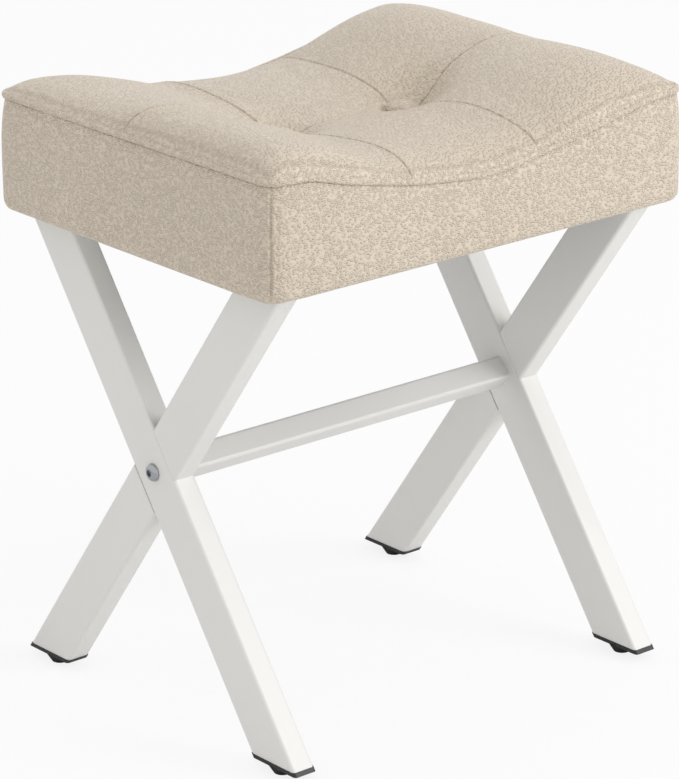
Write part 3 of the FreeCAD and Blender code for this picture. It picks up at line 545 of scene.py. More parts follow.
def soft_noise(x: np.ndarray, y: np.ndarray, wavelength: float, seed: int) -> np.ndarray:
    """Smooth noise from about -1 to 1, a sum of a few seeded waves of about that length."""
    rng = np.random.default_rng(seed)
    total = np.zeros(np.broadcast(x, y).shape)
    for _ in range(7):
        angle = rng.uniform(0, 2 * math.pi)
        number = 2 * math.pi / (wavelength * rng.uniform(0.7, 1.6))
        phase = rng.uniform(0, 2 * math.pi)
        total += np.sin(number * (x * math.cos(angle) + y * math.sin(angle)) + phase)
    return total / 3.2


def smooth(value: np.ndarray) -> np.ndarray:
    """0 below 0, 1 above 1, and a smooth step between."""
    value = np.clip(value, 0, 1)
    return value * value * (3 - 2 * value)


def bell(distance: np.ndarray, width: float) -> np.ndarray:
    """1 at no distance and close to 0 from about two widths on."""
    return np.exp(-((distance / width) ** 2))


def outer_loop(number: np.ndarray) -> np.ndarray:
    """The numbers round the edge of a grid of numbers, once round."""
    return np.concatenate([number[:-1, 0], number[-1, :-1], number[:0:-1, -1], number[0, :0:-1]])


# Geometry Nodes


class ModifierTree(Graph):
    """A Geometry Nodes tree with named inputs that ends in Realize Instances and Set Material."""

    def __init__(self, name: str, inputs: Mapping[str, tuple[str, Any]]) -> None:
        """Opens the tree.

        Args:
            name: the tree's name.
            inputs: a socket type and a default value for each named input.
        """
        super().__init__(bpy.data.node_groups.new(name, "GeometryNodeTree"))
        sockets = self.tree.interface
        sockets.new_socket("Geometry", in_out="OUTPUT", socket_type="NodeSocketGeometry")
        sockets.new_socket("Geometry", in_out="INPUT", socket_type="NodeSocketGeometry")
        self.identifiers: dict[str, str] = {}
        for label, (kind, default) in inputs.items():
            socket = sockets.new_socket(label, in_out="INPUT", socket_type=kind)
            if default is not None:
                socket.default_value = default
            self.identifiers[label] = socket.identifier
        material = sockets.new_socket("Material", in_out="INPUT", socket_type="NodeSocketMaterial")
        self.identifiers["Material"] = material.identifier
        self.source = self.add("NodeGroupInput", out="Geometry")

    def close(self, geometry: Wire) -> None:
        """Ends the tree."""
        real = self.add("GeometryNodeRealizeInstances", None, {0: geometry})
        dressed = self.add(
            "GeometryNodeSetMaterial", None, {"Geometry": real, "Material": self.source.other("Material")}
        )
        self.add("NodeGroupOutput", None, {0: dressed})

    def run(self, obj: bpy.types.Object, material: bpy.types.Material, **values: Any) -> None:
        """Runs the tree on an object and keeps the result as its plain mesh.

        Args:
            obj: the object.
            material: the material of the result.
            **values: the named inputs; words of an input's name are joined by underscores.
        """
        modifier = obj.modifiers.new(self.tree.name, "NODES")
        modifier.node_group = self.tree
        modifier[self.identifiers["Material"]] = material
        for name, value in values.items():
            modifier[self.identifiers[name.replace("_", " ")]] = value
        baked(obj)


def swept_cord_tree() -> ModifierTree:
    """A round cord along a closed path of edges."""
    tree = ModifierTree(
        "swept_cord",
        {"Radius": ("NodeSocketFloat", 0.0027), "Sides": ("NodeSocketInt", 14)},
    )
    path = tree.add("GeometryNodeMeshToCurve", None, {"Mesh": tree.source})
    ring = tree.add(
        "GeometryNodeCurvePrimitiveCircle",
        {"mode": "RADIUS"},
        {"Resolution": tree.source.other("Sides"), "Radius": tree.source.other("Radius")},
    )
    cord = tree.add("GeometryNodeCurveToMesh", None, {"Curve": path, "Profile Curve": ring})
    tree.close(tree.add("GeometryNodeSetShadeSmooth", None, {"Geometry": cord}))
    return tree


def staple_tree() -> ModifierTree:
    """A wire staple, back down and legs up, on each point, turned by the attribute "turn"."""
    sizes = {"Back": 0.010, "Wire": 0.0006, "Leg": 0.006}
    tree = ModifierTree("staples", {name: ("NodeSocketFloat", value) for name, value in sizes.items()})
    half = tree.source.other("Back") * 0.5 - tree.source.other("Wire") * 0.5
    low = tree.source.other("Wire") * -0.5
    leg = tree.source.other("Leg")

    def corner(x: Wire, z: Wire) -> Wire:
        """A point of the bent wire."""
        return tree.add("ShaderNodeCombineXYZ", None, {"X": x, "Z": z})

    points = [corner(half * -1, leg), corner(half * -1, low), corner(half * 1, low), corner(half * 1, leg)]
    bent = tree.add(
        "GeometryNodeCurvePrimitiveQuadrilateral",
        {"mode": "POINTS"},
        {f"Point {number + 1}": point for number, point in enumerate(points)},
    )
    opened = tree.add("GeometryNodeSetSplineCyclic", None, {"Geometry": bent, "Cyclic": False})
    rounded = tree.add(
        "GeometryNodeFilletCurve",
        {"mode": "POLY"},
        {"Curve": opened, "Count": 3, "Radius": tree.source.other("Wire") * 1.2},
    )
    ring = tree.add(
        "GeometryNodeCurvePrimitiveCircle",
        {"mode": "RADIUS"},
        {"Resolution": 6, "Radius": tree.source.other("Wire") * 0.5},
    )
    staple = tree.add(
        "GeometryNodeCurveToMesh", None, {"Curve": rounded, "Profile Curve": ring, "Fill Caps": True}
    )
    turn = tree.add("GeometryNodeInputNamedAttribute", {"data_type": "FLOAT"}, {"Name": "turn"})
    angles = tree.add("ShaderNodeCombineXYZ", None, {"Z": turn})
    placed = tree.add(
        "GeometryNodeInstanceOnPoints",
        None,
        {
            "Points": tree.add("GeometryNodeMeshToPoints", None, {"Mesh": tree.source}),
            "Instance": staple,
            "Rotation": tree.add("FunctionNodeEulerToRotation", None, {0: angles}),
        },
    )
    tree.close(placed)
    return tree


# The cushion


@dataclass
class SeatForm:
    """The cushion's shape: heights are above the leather's underside, lengths from its middle."""

    base_mm: float = 375.5
    half_length_mm: float = 205.0
    half_depth_mm: float = 162.0
    corner_mm: float = 14.0
    bulge_mm: float = 3.0
    cross_seam_mm: float = 62.0
    seam_middle_mm: float = 68.6
    seam_button_mm: float = 62.2
    seam_left_mm: float = 107.1
    seam_right_mm: float = 105.9
    crown_middle_mm: tuple[float, float] = (83.5, 74.5)
    crown_seam_left_mm: tuple[float, float] = (84.6, 78.8)
    crown_seam_right_mm: tuple[float, float] = (85.4, 77.1)
    crown_left_mm: tuple[float, float] = (111.5, 103.4)
    crown_right_mm: tuple[float, float] = (111.5, 109.6)
    crest_left_mm: float = 172.8
    crest_right_mm: float = 162.4
    rise_left: float = 1.67
    rise_right: float = 1.16
    rise_seam: float = 1.1
    crown_offset_left_mm: tuple[float, float] = (129.0, 109.7)
    crown_offset_right_mm: tuple[float, float] = (83.4, 77.8)
    fullness: tuple[float, float] = (2.12, 2.39)
    roll_left_mm: float = 27.0
    roll_right_mm: float = 41.0
    roll_fullness: float = 1.74
    skew: float = 0.06
    seam_drift_mm: float = 6.8
    welt_radius_mm: float = 2.75
    welt_inset_mm: float = 0.95
    welt_stations_mm: tuple[float, ...] = (
        -205.5, -174, -131, -66.5, -37, 3, 59, 102, 138, 162, 176, 205.5)
    welt_tops_mm: tuple[float, ...] = (
        93.0, 92.0, 82.0, 69.5, 65.8, 62.5, 69.0, 76.7, 83.6, 88.1, 90.0, 91.2)
    groove_mm: float = 1.0

    def welt(self, x: np.ndarray) -> np.ndarray:
        """Height of the welt's middle: a smooth curve through the stations that never overshoots."""
        stations = np.asarray(self.welt_stations_mm, float)
        tops = np.asarray(self.welt_tops_mm, float) + self.base_mm - self.welt_radius_mm
        step, rise = np.diff(stations), np.diff(tops)
        slope = rise / step
        lean = np.zeros_like(tops)
        for i in range(1, len(tops) - 1):
            if slope[i - 1] * slope[i] > 0:
                one, two = 2 * step[i] + step[i - 1], step[i] + 2 * step[i - 1]
                lean[i] = (one + two) / (one / slope[i - 1] + two / slope[i])
        x = np.clip(x, stations[0], stations[-1])
        k = np.clip(np.searchsorted(stations, x, side="right") - 1, 0, len(step) - 1)
        t = (x - stations[k]) / step[k]
        start = (2 * t**3 - 3 * t**2 + 1) * tops[k] + (t**3 - 2 * t**2 + t) * step[k] * lean[k]
        return start + (3 * t**2 - 2 * t**3) * tops[k + 1] + (t**3 - t**2) * step[k] * lean[k + 1]

    def _rise(self, x: np.ndarray, side: int, power: float) -> np.ndarray:
        """0 at the cross seam and 1 at the crest of the raised end on that side."""
        crest = self.crest_right_mm if side > 0 else self.crest_left_mm
        share = np.clip((side * x - self.cross_seam_mm) / (crest - self.cross_seam_mm), 0, 1)
        return np.sin(math.pi / 2 * share) ** power

    def _along(
        self, x: np.ndarray, middle: float, seams: tuple[float, float], ends: tuple[float, float],
        powers: tuple[float, float],
    ) -> np.ndarray:
        """A height along the seat from its values in the middle, at the cross seams and at the ends."""
        share = np.clip(x / self.cross_seam_mm, -1, 1)
        near = np.where(x < 0, seams[0], seams[1])
        inner = near + (middle - near) * np.cos(math.pi / 2 * share)
        left = seams[0] + (ends[0] - seams[0]) * self._rise(x, -1, powers[0])
        right = seams[1] + (ends[1] - seams[1]) * self._rise(x, 1, powers[1])
        outer = np.where(x < 0, left, right)
        return self.base_mm + np.where(np.abs(x) < self.cross_seam_mm, inner, outer)

    def seam(self, x: np.ndarray) -> np.ndarray:
        """Height of the lengthwise seam."""
        button = (self.seam_button_mm, self.seam_button_mm)
        ends = (self.seam_left_mm, self.seam_right_mm)
        return self._along(x, self.seam_middle_mm, button, ends, (self.rise_seam, self.rise_seam))

    def crown(self, x: np.ndarray, half: int) -> np.ndarray:
        """Height of the fullest line of the front (0) or back (1) half."""
        seams = (self.crown_seam_left_mm[half], self.crown_seam_right_mm[half])
        ends = (self.crown_left_mm[half], self.crown_right_mm[half])
        return self._along(x, self.crown_middle_mm[half], seams, ends, (self.rise_left, self.rise_right))

    def crown_offset(self, x: np.ndarray, half: int) -> np.ndarray:
        """How far that fullest line is from the lengthwise seam."""
        share = 1 / (1 + np.exp(-x / 40))
        return self.crown_offset_left_mm[half] * (1 - share) + self.crown_offset_right_mm[half] * share

    def top(self, x: np.ndarray, y: np.ndarray) -> np.ndarray:
        """Height of the stuffed top, before its seams and tucks."""
        edge = self.welt(x)
        height = np.empty_like(x)
        for half, sign in enumerate((-1, 1)):
            crown, offset = self.crown(x, half), self.crown_offset(x, half)
            reach = np.clip(y * sign, 0, None)
            inner = crown - (crown - self.seam(x)) * np.clip((offset - reach) / offset, 0, 1) ** 2
            share = np.clip((reach - offset) / (self.half_depth_mm - offset), 0, 1)
            full = self.fullness[half]
            outer = edge + (crown - edge) * (1 - share**full) ** (1 / full)
            side = np.where(reach < offset, inner, outer)
            height = np.where(y * sign >= 0, side, height)
        roll = np.where(x < 0, self.roll_left_mm, self.roll_right_mm)
        share = np.clip((np.abs(x) - (self.half_length_mm - roll)) / roll, 0, 1)
        return edge + (height - edge) * (1 - share**self.roll_fullness) ** (1 / self.roll_fullness)

    def drawn(self, x: np.ndarray, y: np.ndarray) -> tuple[np.ndarray, np.ndarray]:
        """Where the stuffing has pushed a point of the top in plan: the seams run a little askew."""
        skewed = x + self.skew * y * np.clip(1 - (np.abs(x) / self.half_length_mm) ** 4, 0, 1)
        reach = np.clip((-x - self.cross_seam_mm) / (self.half_length_mm - self.cross_seam_mm), 0, 1)
        return skewed, y + self.seam_drift_mm * reach**2 * (1 - (y / self.half_depth_mm) ** 2)

    def rounded(self, x: np.ndarray, y: np.ndarray) -> tuple[np.ndarray, np.ndarray]:
        """The rectangle's points moved in so that its corners are round."""
        reach_x, reach_y = self.half_length_mm - self.corner_mm, self.half_depth_mm - self.corner_mm
        u = np.clip((np.abs(x) - reach_x) / self.corner_mm, 0, 1)
        v = np.clip((np.abs(y) - reach_y) / self.corner_mm, 0, 1)
        both = (u > 0) & (v > 0)
        round_x = np.sign(x) * (reach_x + self.corner_mm * u * np.sqrt(1 - v * v / 2))
        round_y = np.sign(y) * (reach_y + self.corner_mm * v * np.sqrt(1 - u * u / 2))
        return np.where(both, round_x, x), np.where(both, round_y, y)


@dataclass
class Perimeter:
    """Columns round the seat's edge, close together at the corner seams."""

    form: SeatForm
    pitch_mm: float = 2.6
    corner_angles: tuple[float, ...] = (
        0, 7, 14, 21, 27, 32, 36, 39, 41.2, 42.8, 44, 45, 46, 47.2, 48.8, 51, 54, 58, 63, 69, 76, 83)

    def __post_init__(self) -> None:
        """Lists each column as a corner to lean on, an angle and a place along the straight."""
        form = self.form
        reach_x, reach_y = form.half_length_mm - form.corner_mm, form.half_depth_mm - form.corner_mm
        corners = [(1, -1), (1, 1), (-1, 1), (-1, -1)]
        share_x, share_y, normal_x, normal_y, seam = [], [], [], [], []
        for number, (sign_x, sign_y) in enumerate(corners):
            start = math.radians(-90 + 90 * number)
            for angle in self.corner_angles:
                turn = start + math.radians(angle)
                share_x.append(float(sign_x))
                share_y.append(float(sign_y))
                normal_x.append(math.cos(turn))
                normal_y.append(math.sin(turn))
                seam.append(math.radians(angle - 45) * (form.corner_mm + form.bulge_mm))
            following = corners[(number + 1) % 4]
            length = 2 * (reach_y if number % 2 == 0 else reach_x)
            count = round(length / self.pitch_mm)
            normal = (math.cos(start + math.pi / 2), math.sin(start + math.pi / 2))
            for step in range(count):
                share = step / count
                share_x.append(sign_x + (following[0] - sign_x) * share)
                share_y.append(sign_y + (following[1] - sign_y) * share)
                normal_x.append(normal[0])
                normal_y.append(normal[1])
                from_corner = min(share, 1 - share) * length
                seam.append(from_corner + math.radians(45) * (form.corner_mm + form.bulge_mm))
        self.share = np.array([share_x, share_y])
        self.normal = np.array([normal_x, normal_y])
        self.seam_distance = np.array(seam)
        self.reach = np.array([[reach_x], [reach_y]])
        self.count = len(share_x)

    def at(self, offset_mm: float | np.ndarray) -> np.ndarray:
        """Points (x, y) that stand this far outside the outline; far inside it the corners turn square."""
        offset = np.asarray(offset_mm, float)
        radius = np.maximum(self.form.corner_mm + offset, 0.6)
        pulled = np.minimum(self.form.corner_mm + offset - 0.6, 0)
        return self.share * (self.reach + pulled) + self.normal * radius


@dataclass
class CushionTop:
    """The stuffed top: six leather panels that two cross seams and a lengthwise seam draw down."""

    form: SeatForm
    step_mm: float = 2.4
    seam_steps_mm: tuple[float, ...] = (0.0, 0.35, 0.75, 1.2, 1.8, 2.6, 3.7)
    edge_steps_mm: tuple[float, ...] = (0.0, 0.15, 0.4, 0.8, 1.4, 2.2, 3.2, 4.6)
    wall_steps_mm: tuple[float, ...] = (3.0, 10.0, 20.0, 32.0, 46.0)
    button_radius_mm: float = 13.5
    tuft_mm: float = 24.0
    tuft_outward_mm: float = 12.0
    welt_reach_mm: float = 4.0
    cloth_step_mm: float = 7.0
    cloth_pressure: float = 4.0
    cloth_frames: int = 20
    slack_mm: float = 2.0
    cloth_cap_mm: float = 4.0

    def _lines(self, half: float, seams: Sequence[float]) -> np.ndarray:
        """Grid lines across the seat, close together at the seams and at the edge."""
        fine = [seam + sign * step for seam in seams for sign in (-1, 1) for step in self.seam_steps_mm]
        fine += [sign * (half - step) for sign in (-1, 1) for step in self.edge_steps_mm]
        fine = np.unique(np.round(fine, 4))
        coarse = np.linspace(-half, half, 2 * round(half / self.step_mm) + 1)
        gap = np.abs(coarse[:, None] - fine[None]).min(axis=1)
        return np.unique(np.concatenate([fine, coarse[gap > self.step_mm * 0.45]]))

    def _tufted(self, x: np.ndarray, y: np.ndarray, height: np.ndarray) -> np.ndarray:
        """The leather pressed flat round each button and gathered into it."""
        seat = self.form.base_mm + self.form.seam_button_mm
        for sign in (-1, 1):
            across = x - sign * self.form.cross_seam_mm
            reach = np.hypot(across, y)
            outward = np.clip(sign * across / np.maximum(reach, 1e-6), 0, 1)
            width = self.tuft_mm + self.tuft_outward_mm * outward
            near = np.clip((reach - self.button_radius_mm + 0.5) / width, 0, 1)
            share = 1 - (1 - near) ** 2
            pit = seat + 0.2 + (height - seat - 0.2) * share
            height = np.where(height > pit, pit, height)
            angle = np.arctan2(y, across)
            gathered = bell(reach - self.button_radius_mm - 3, 9) * (reach > self.button_radius_mm - 2)
            height = height + 0.35 * gathered * np.sin(angle * 13 + 2 * np.sin(angle * 3))
        return height

    def _sewn(self, x: np.ndarray, y: np.ndarray, height: np.ndarray) -> tuple[np.ndarray, np.ndarray]:
        """The grooves of the seams, and a mask from 0 to 1 of painted shade in the seams and beside the welt."""
        form = self.form
        painted_seam_shade = np.zeros_like(height)
        for distance, along, seed in (
            (np.abs(np.abs(x) - form.cross_seam_mm), y, 11),
            (np.abs(y), x, 12),
        ):
            groove = bell(distance, 0.65)
            lip = bell(distance - 1.8, 1.0)
            tuck = bell(distance, 7.0) * (distance > 0.5)
            wave = np.sin(along * (2 * math.pi / 8.5) + 2.5 * soft_noise(along, np.sign(x) * 7, 60, seed))
            height = height - form.groove_mm * groove + 0.4 * lip + 0.16 * tuck * wave
            # painted shade along each seam's groove
            painted_seam_shade = np.maximum(painted_seam_shade, bell(distance, 0.5))
        rim = np.minimum(form.half_length_mm - np.abs(x), form.half_depth_mm - np.abs(y))
        # beside the welt the top dips, and painted shade is laid there too
        beside = bell(rim - self.welt_reach_mm, 0.8)
        return height - 0.5 * beside, np.maximum(painted_seam_shade, 0.8 * beside)

    def _stuffed(self, x: np.ndarray, y: np.ndarray) -> np.ndarray:
        """How far simulated cloth under pressure, held at its seams and edge, departs from the form.

        The cloth starts slack, below the form, and its lift is capped, so the change is small and
        mostly downwards.
        """
        form = self.form
        seam, half_x, half_y = form.cross_seam_mm, form.half_length_mm, form.half_depth_mm
        end = np.linspace(seam, half_x, 1 + round((half_x - seam) / self.cloth_step_mm))
        middle = np.linspace(-seam, seam, 1 + 2 * round(seam / self.cloth_step_mm))
        xs = np.concatenate([-end[::-1], middle[1:-1], end])
        ys = np.linspace(-half_y, half_y, 1 + 2 * round(half_y / self.cloth_step_mm))
        flat_x, flat_y = np.meshgrid(xs, ys, indexing="ij")
        to_seam = np.minimum(np.abs(np.abs(flat_x) - seam), np.abs(flat_y))
        to_edge = np.minimum(half_x - np.abs(flat_x), half_y - np.abs(flat_y))
        held = np.minimum(to_seam, to_edge)
        height = form.top(flat_x, flat_y)
        start = height - self.slack_mm * smooth(held / 30)
        points = np.stack([flat_x, flat_y, start], axis=-1).reshape(-1, 3)
        cloth = make_object("cushion_cloth", points, grid_faces(*flat_x.shape))
        sewn = cloth.vertex_groups.new(name="sewn")
        sewn.add(np.nonzero(held.ravel() < 0.5)[0].tolist(), 1.0, "REPLACE")
        modifier = cloth.modifiers.new("stuffing", "CLOTH")
        settings = modifier.settings
        settings.quality = 5
        settings.mass = 0.3
        settings.tension_stiffness = settings.compression_stiffness = 12
        settings.bending_stiffness = 0.4
        settings.vertex_group_mass = sewn.name
        settings.use_pressure = True
        settings.uniform_pressure_force = self.cloth_pressure
        settings.effector_weights.gravity = 0.0
        scene = bpy.context.scene
        for step in range(1, self.cloth_frames + 1):
            scene.frame_set(step)
        graph = bpy.context.evaluated_depsgraph_get()
        result = bpy.data.meshes.new_from_object(cloth.evaluated_get(graph))
        moved = np.empty(3 * len(result.vertices))
        result.vertices.foreach_get("co", moved)
        lift = moved.reshape(-1, 3)[:, 2].reshape(height.shape) / MM - start
        LOG.info("cushion cloth: lifted %.1f to %.1f mm", lift.min(), lift.max())
        change = start + np.clip(lift, 0, self.cloth_cap_mm) - height
        bpy.data.objects.remove(cloth)
        bpy.data.meshes.remove(result)
        scene.frame_set(1)
        rows = np.array([np.interp(y[0], ys, line) for line in change])
        return np.array([np.interp(x[:, 0], xs, rows[:, j]) for j in range(x.shape[1])]).T

    def build(self) -> bpy.types.Object:
        """The closed cushion: the sewn top, hidden walls inside the boxing and a flat bottom."""
        form = self.form
        xs = self._lines(form.half_length_mm, (-form.cross_seam_mm, form.cross_seam_mm))
        ys = self._lines(form.half_depth_mm, (0.0,))
        x, y = np.meshgrid(xs, ys, indexing="ij")
        height = form.top(x, y) + self._stuffed(x, y) + 0.25 * soft_noise(x, y, 55, 3)
        edge = np.minimum(form.half_length_mm - np.abs(x), form.half_depth_mm - np.abs(y))
        height = np.where(edge <= 0, form.welt(x), height)
        height = self._tufted(x, y, height)
        sewn, painted_seam_shade = self._sewn(x, y, height)
        share = smooth(edge / 3)
        height = height * (1 - share) + sewn * share
        painted_seam_shade = painted_seam_shade * share
        flat_x, flat_y = form.drawn(*form.rounded(x, y))
        points = np.stack([flat_x, flat_y, height], axis=-1).reshape(-1, 3)
        rows, columns = x.shape
        number = np.arange(rows * columns).reshape(rows, columns)
        loop = outer_loop(number)
        faces = [grid_faces(rows, columns)]
        rim = points[loop]
        upper = loop
        for drop in self.wall_steps_mm:
            inward = min(drop, 3.0)
            scale = np.array([1 - inward / form.half_length_mm, 1 - inward / form.half_depth_mm])
            ring = np.column_stack([rim[:, :2] * scale, rim[:, 2] - drop])
            lower = np.arange(len(loop)) + len(points)
            points = np.concatenate([points, ring])
            faces.append(np.stack([lower, np.roll(lower, -1), np.roll(upper, -1), upper], axis=1))
            upper = lower
        points = np.concatenate([points, [[0.0, 0.0, rim[:, 2].min() - self.wall_steps_mm[-1]]]])
        centre = np.full(len(upper), len(points) - 1)
        fan = np.stack([np.roll(upper, -1), upper, centre], axis=1)
        values = np.zeros(len(points))
        # the top's painted seam shade, as a point attribute; the walls and bottom get none
        values[: rows * columns] = painted_seam_shade.ravel()
        everything = [*np.concatenate(faces).tolist(), *fan.tolist()]
        return make_object("cushion_top", points, everything, {"painted_seam_shade": values})


@dataclass
class Boxing:
    """The leather band round the cushion, sewn at its corners and turned under the board."""

    form: SeatForm
    perimeter: Perimeter
    thickness_mm: float = 1.0
    roll_mm: float = 8.0
    return_mm: float = 45.0
    corner_tuck_mm: float = 2.6
    wall_rows: int = 26
    roll_rows: int = 9

    def _outside(self) -> tuple[np.ndarray, np.ndarray]:
        """Offsets and heights of the outer side, from the welt down and under, for each column."""
        form = self.form
        line = self.perimeter.at(0.0)
        top = form.welt(line[0]) - 1.2
        low = form.base_mm + self.roll_mm
        share = np.linspace(0, 1, self.wall_rows)[:, None]
        offsets = -0.9 + (form.bulge_mm + 0.9) * (1 - (1 - np.clip(share * 1.9, 0, 1)) ** 2.4)
        offsets = np.repeat(offsets, self.perimeter.count, axis=1)
        heights = top[None] + (low - top)[None] * share
        angle = np.linspace(0, math.pi / 2, self.roll_rows)[1:, None]
        roll_offsets = form.bulge_mm - self.roll_mm * (1 - np.cos(angle))
        roll_heights = form.base_mm + self.roll_mm * (1 - np.sin(angle))
        under = np.linspace(form.bulge_mm - self.roll_mm, -self.return_mm, 5)[1:, None]
        blank = np.ones((1, self.perimeter.count))
        offsets = np.concatenate([offsets, roll_offsets * blank, under * blank])
        heights = np.concatenate([heights, roll_heights * blank, form.base_mm * np.ones_like(under) * blank])
        return offsets, heights

    def build(self) -> bpy.types.Object:
        """The band as one closed strip of leather."""
        form = self.form
        offsets, heights = self._outside()
        inner_offsets = offsets[::-2] - self.thickness_mm
        turned_under = inner_offsets < form.bulge_mm - self.roll_mm
        inner_heights = np.where(turned_under, form.base_mm + 1.0, heights[::-2])
        distance = self.perimeter.seam_distance
        along = self.perimeter.at(0.0)
        shown = smooth((heights - form.base_mm) / 6)
        broad = 0.35 * soft_noise(along[0] + along[1], heights, 70, 5)
        ripple = broad + 0.2 * soft_noise(along[0] - along[1], heights, 28, 6)
        sag = smooth((form.base_mm + 24 - heights) / 24)
        ripple = ripple * (0.4 + 0.9 * sag)
        groove = bell(distance, 0.75) * 1.1 - 0.35 * bell(np.abs(distance) - 2.2, 1.2)
        offsets = offsets + (ripple - 0.4 - groove[None]) * shown
        corner = bell(distance, 15) * (along[0] < 0) * (along[1] < 0)
        heights = heights + self.corner_tuck_mm * corner[None] * sag * smooth((offsets + 8) / 8)
        # painted shade along the corner seams' grooves, above the turned-under part
        painted_seam_shade = bell(distance, 0.5)[None] * shown
        rows = [np.column_stack([*self.perimeter.at(o), z]) for o, z in zip(offsets, heights)]
        rows += [np.column_stack([*self.perimeter.at(o), z]) for o, z in zip(inner_offsets, inner_heights)]
        points = np.concatenate(rows)
        faces = grid_faces(len(rows), self.perimeter.count, wrap_rows=True, wrap_columns=True)
        values = np.zeros(len(points))
        values[: painted_seam_shade.size] = painted_seam_shade.ravel()
        return make_object("boxing_band", points, faces, {"painted_seam_shade": values})


@dataclass
class Welt:
    """The leather-covered cord sewn in between the top and the boxing."""

    form: SeatForm
    perimeter: Perimeter
    sides: int = 16

    def build(self, material: bpy.types.Material) -> bpy.types.Object:
        """The cord swept along the seat's edge."""
        form = self.form
        flat = self.perimeter.at(-form.welt_inset_mm)
        height = form.welt(flat[0])
        points = np.column_stack([flat[0], flat[1], height])
        count = len(points)
        edges = [(i, (i + 1) % count) for i in range(count)]
        obj = make_object("welt", points, [], edges=edges)
        swept_cord_tree().run(obj, material, Radius=form.welt_radius_mm * MM, Sides=self.sides)
        facing_out(obj)
        return obj


@dataclass
class Button:
    """A button covered in the seat's leather, drawn down where two seams cross."""

    side: int
    form: SeatForm
    radius_mm: float = 13.5
    level_mm: float = 62.5
    rim_mm: float = 5.4
    edge_mm: float = 1.2
    dome_mm: float = 2.6
    slices: int = 72

    def build(self, name: str) -> bpy.types.Object:
        """A turned dome with a rounded rim and a flat back."""
        base, half = self.form.base_mm + self.level_mm, self.rim_mm * 0.5
        inner = self.radius_mm - self.edge_mm
        edge = [(inner + self.edge_mm * math.sin(a), base + half - half * math.cos(a))
                for a in np.linspace(0, math.pi / 2, 5)]
        dome = [(self.radius_mm * math.cos(a), base + half + (half + self.dome_mm) * math.sin(a) ** 0.9)
                for a in np.linspace(0, math.pi / 2, 16)[1:-1]]
        profile = edge + dome
        angles = np.arange(self.slices) * 2 * math.pi / self.slices
        points, centre = [], self.side * self.form.cross_seam_mm
        for radius, height in profile:
            points += [(centre + radius * math.cos(a), radius * math.sin(a), height) for a in angles]
        rows = len(profile)
        faces = grid_faces(rows, self.slices, wrap_columns=True)[:, ::-1].tolist()
        points += [(centre, 0.0, base), (centre, 0.0, base + self.rim_mm + self.dome_mm)]
        low, high = len(points) - 2, len(points) - 1
        last = (rows - 1) * self.slices
        for i in range(self.slices):
            j = (i + 1) % self.slices
            faces += [[low, j, i], [high, last + i, last + j]]
        values = np.zeros(len(points))
        return make_object(name, np.array(points), faces, {"painted_seam_shade": values})


@dataclass
class DustCover:
    """The black lining stapled under the seat."""

    half_length_mm: float = 178.0
    half_depth_mm: float = 135.0
    level_mm: float = 375.0
    thickness_mm: float = 0.4
    step_mm: float = 6.0

    def build(self) -> bpy.types.Object:
        """A thin closed sheet, drawn flat and taut."""
        xs = np.linspace(-self.half_length_mm, self.half_length_mm, round(2 * self.half_length_mm / self.step_mm))
        ys = np.linspace(-self.half_depth_mm, self.half_depth_mm, round(2 * self.half_depth_mm / self.step_mm))
        x, y = np.meshgrid(xs, ys, indexing="ij")
        low = np.full_like(x, self.level_mm)
        count = x.size
        points = np.concatenate(
            [np.stack([x, y, low], axis=-1).reshape(-1, 3),
             np.stack([x, y, low + self.thickness_mm], axis=-1).reshape(-1, 3)])
        number = np.arange(count).reshape(x.shape)
        loop = outer_loop(number)
        under = grid_faces(*x.shape)
        sides = np.stack([loop, np.roll(loop, -1), np.roll(loop, -1) + count, loop + count], axis=1)
        faces = np.concatenate([under[:, ::-1], under + count, sides])
        return make_object("dust_cover_sheet", points, faces)


@dataclass
class Staples:
    """Wire staples that hold the dust cover and the turned-under leather to the board."""

    level_mm: float = 375.0
    pitch_mm: float = 37.0
    across_mm: float = 130.0
    along_mm: float = 158.9
    along_count: int = 4
    across_count: int = 2

    def build(self, material: bpy.types.Material) -> bpy.types.Object:
        """A staple on each place round the seat."""
        rows = [(n * self.pitch_mm, sign * self.across_mm, 0.0)
                for n in range(-self.along_count, self.along_count + 1) for sign in (-1, 1)]
        rows += [(sign * self.along_mm, n * self.pitch_mm, math.pi / 2)
                 for n in range(-self.across_count, self.across_count + 1) for sign in (-1, 1)]
        places = np.array(rows)
        points = np.column_stack([places[:, :2], np.full(len(places), self.level_mm)])
        obj = make_object("staples", points, [], {"turn": places[:, 2]})
        staple_tree().run(obj, material)
        facing_out(obj)
        return obj


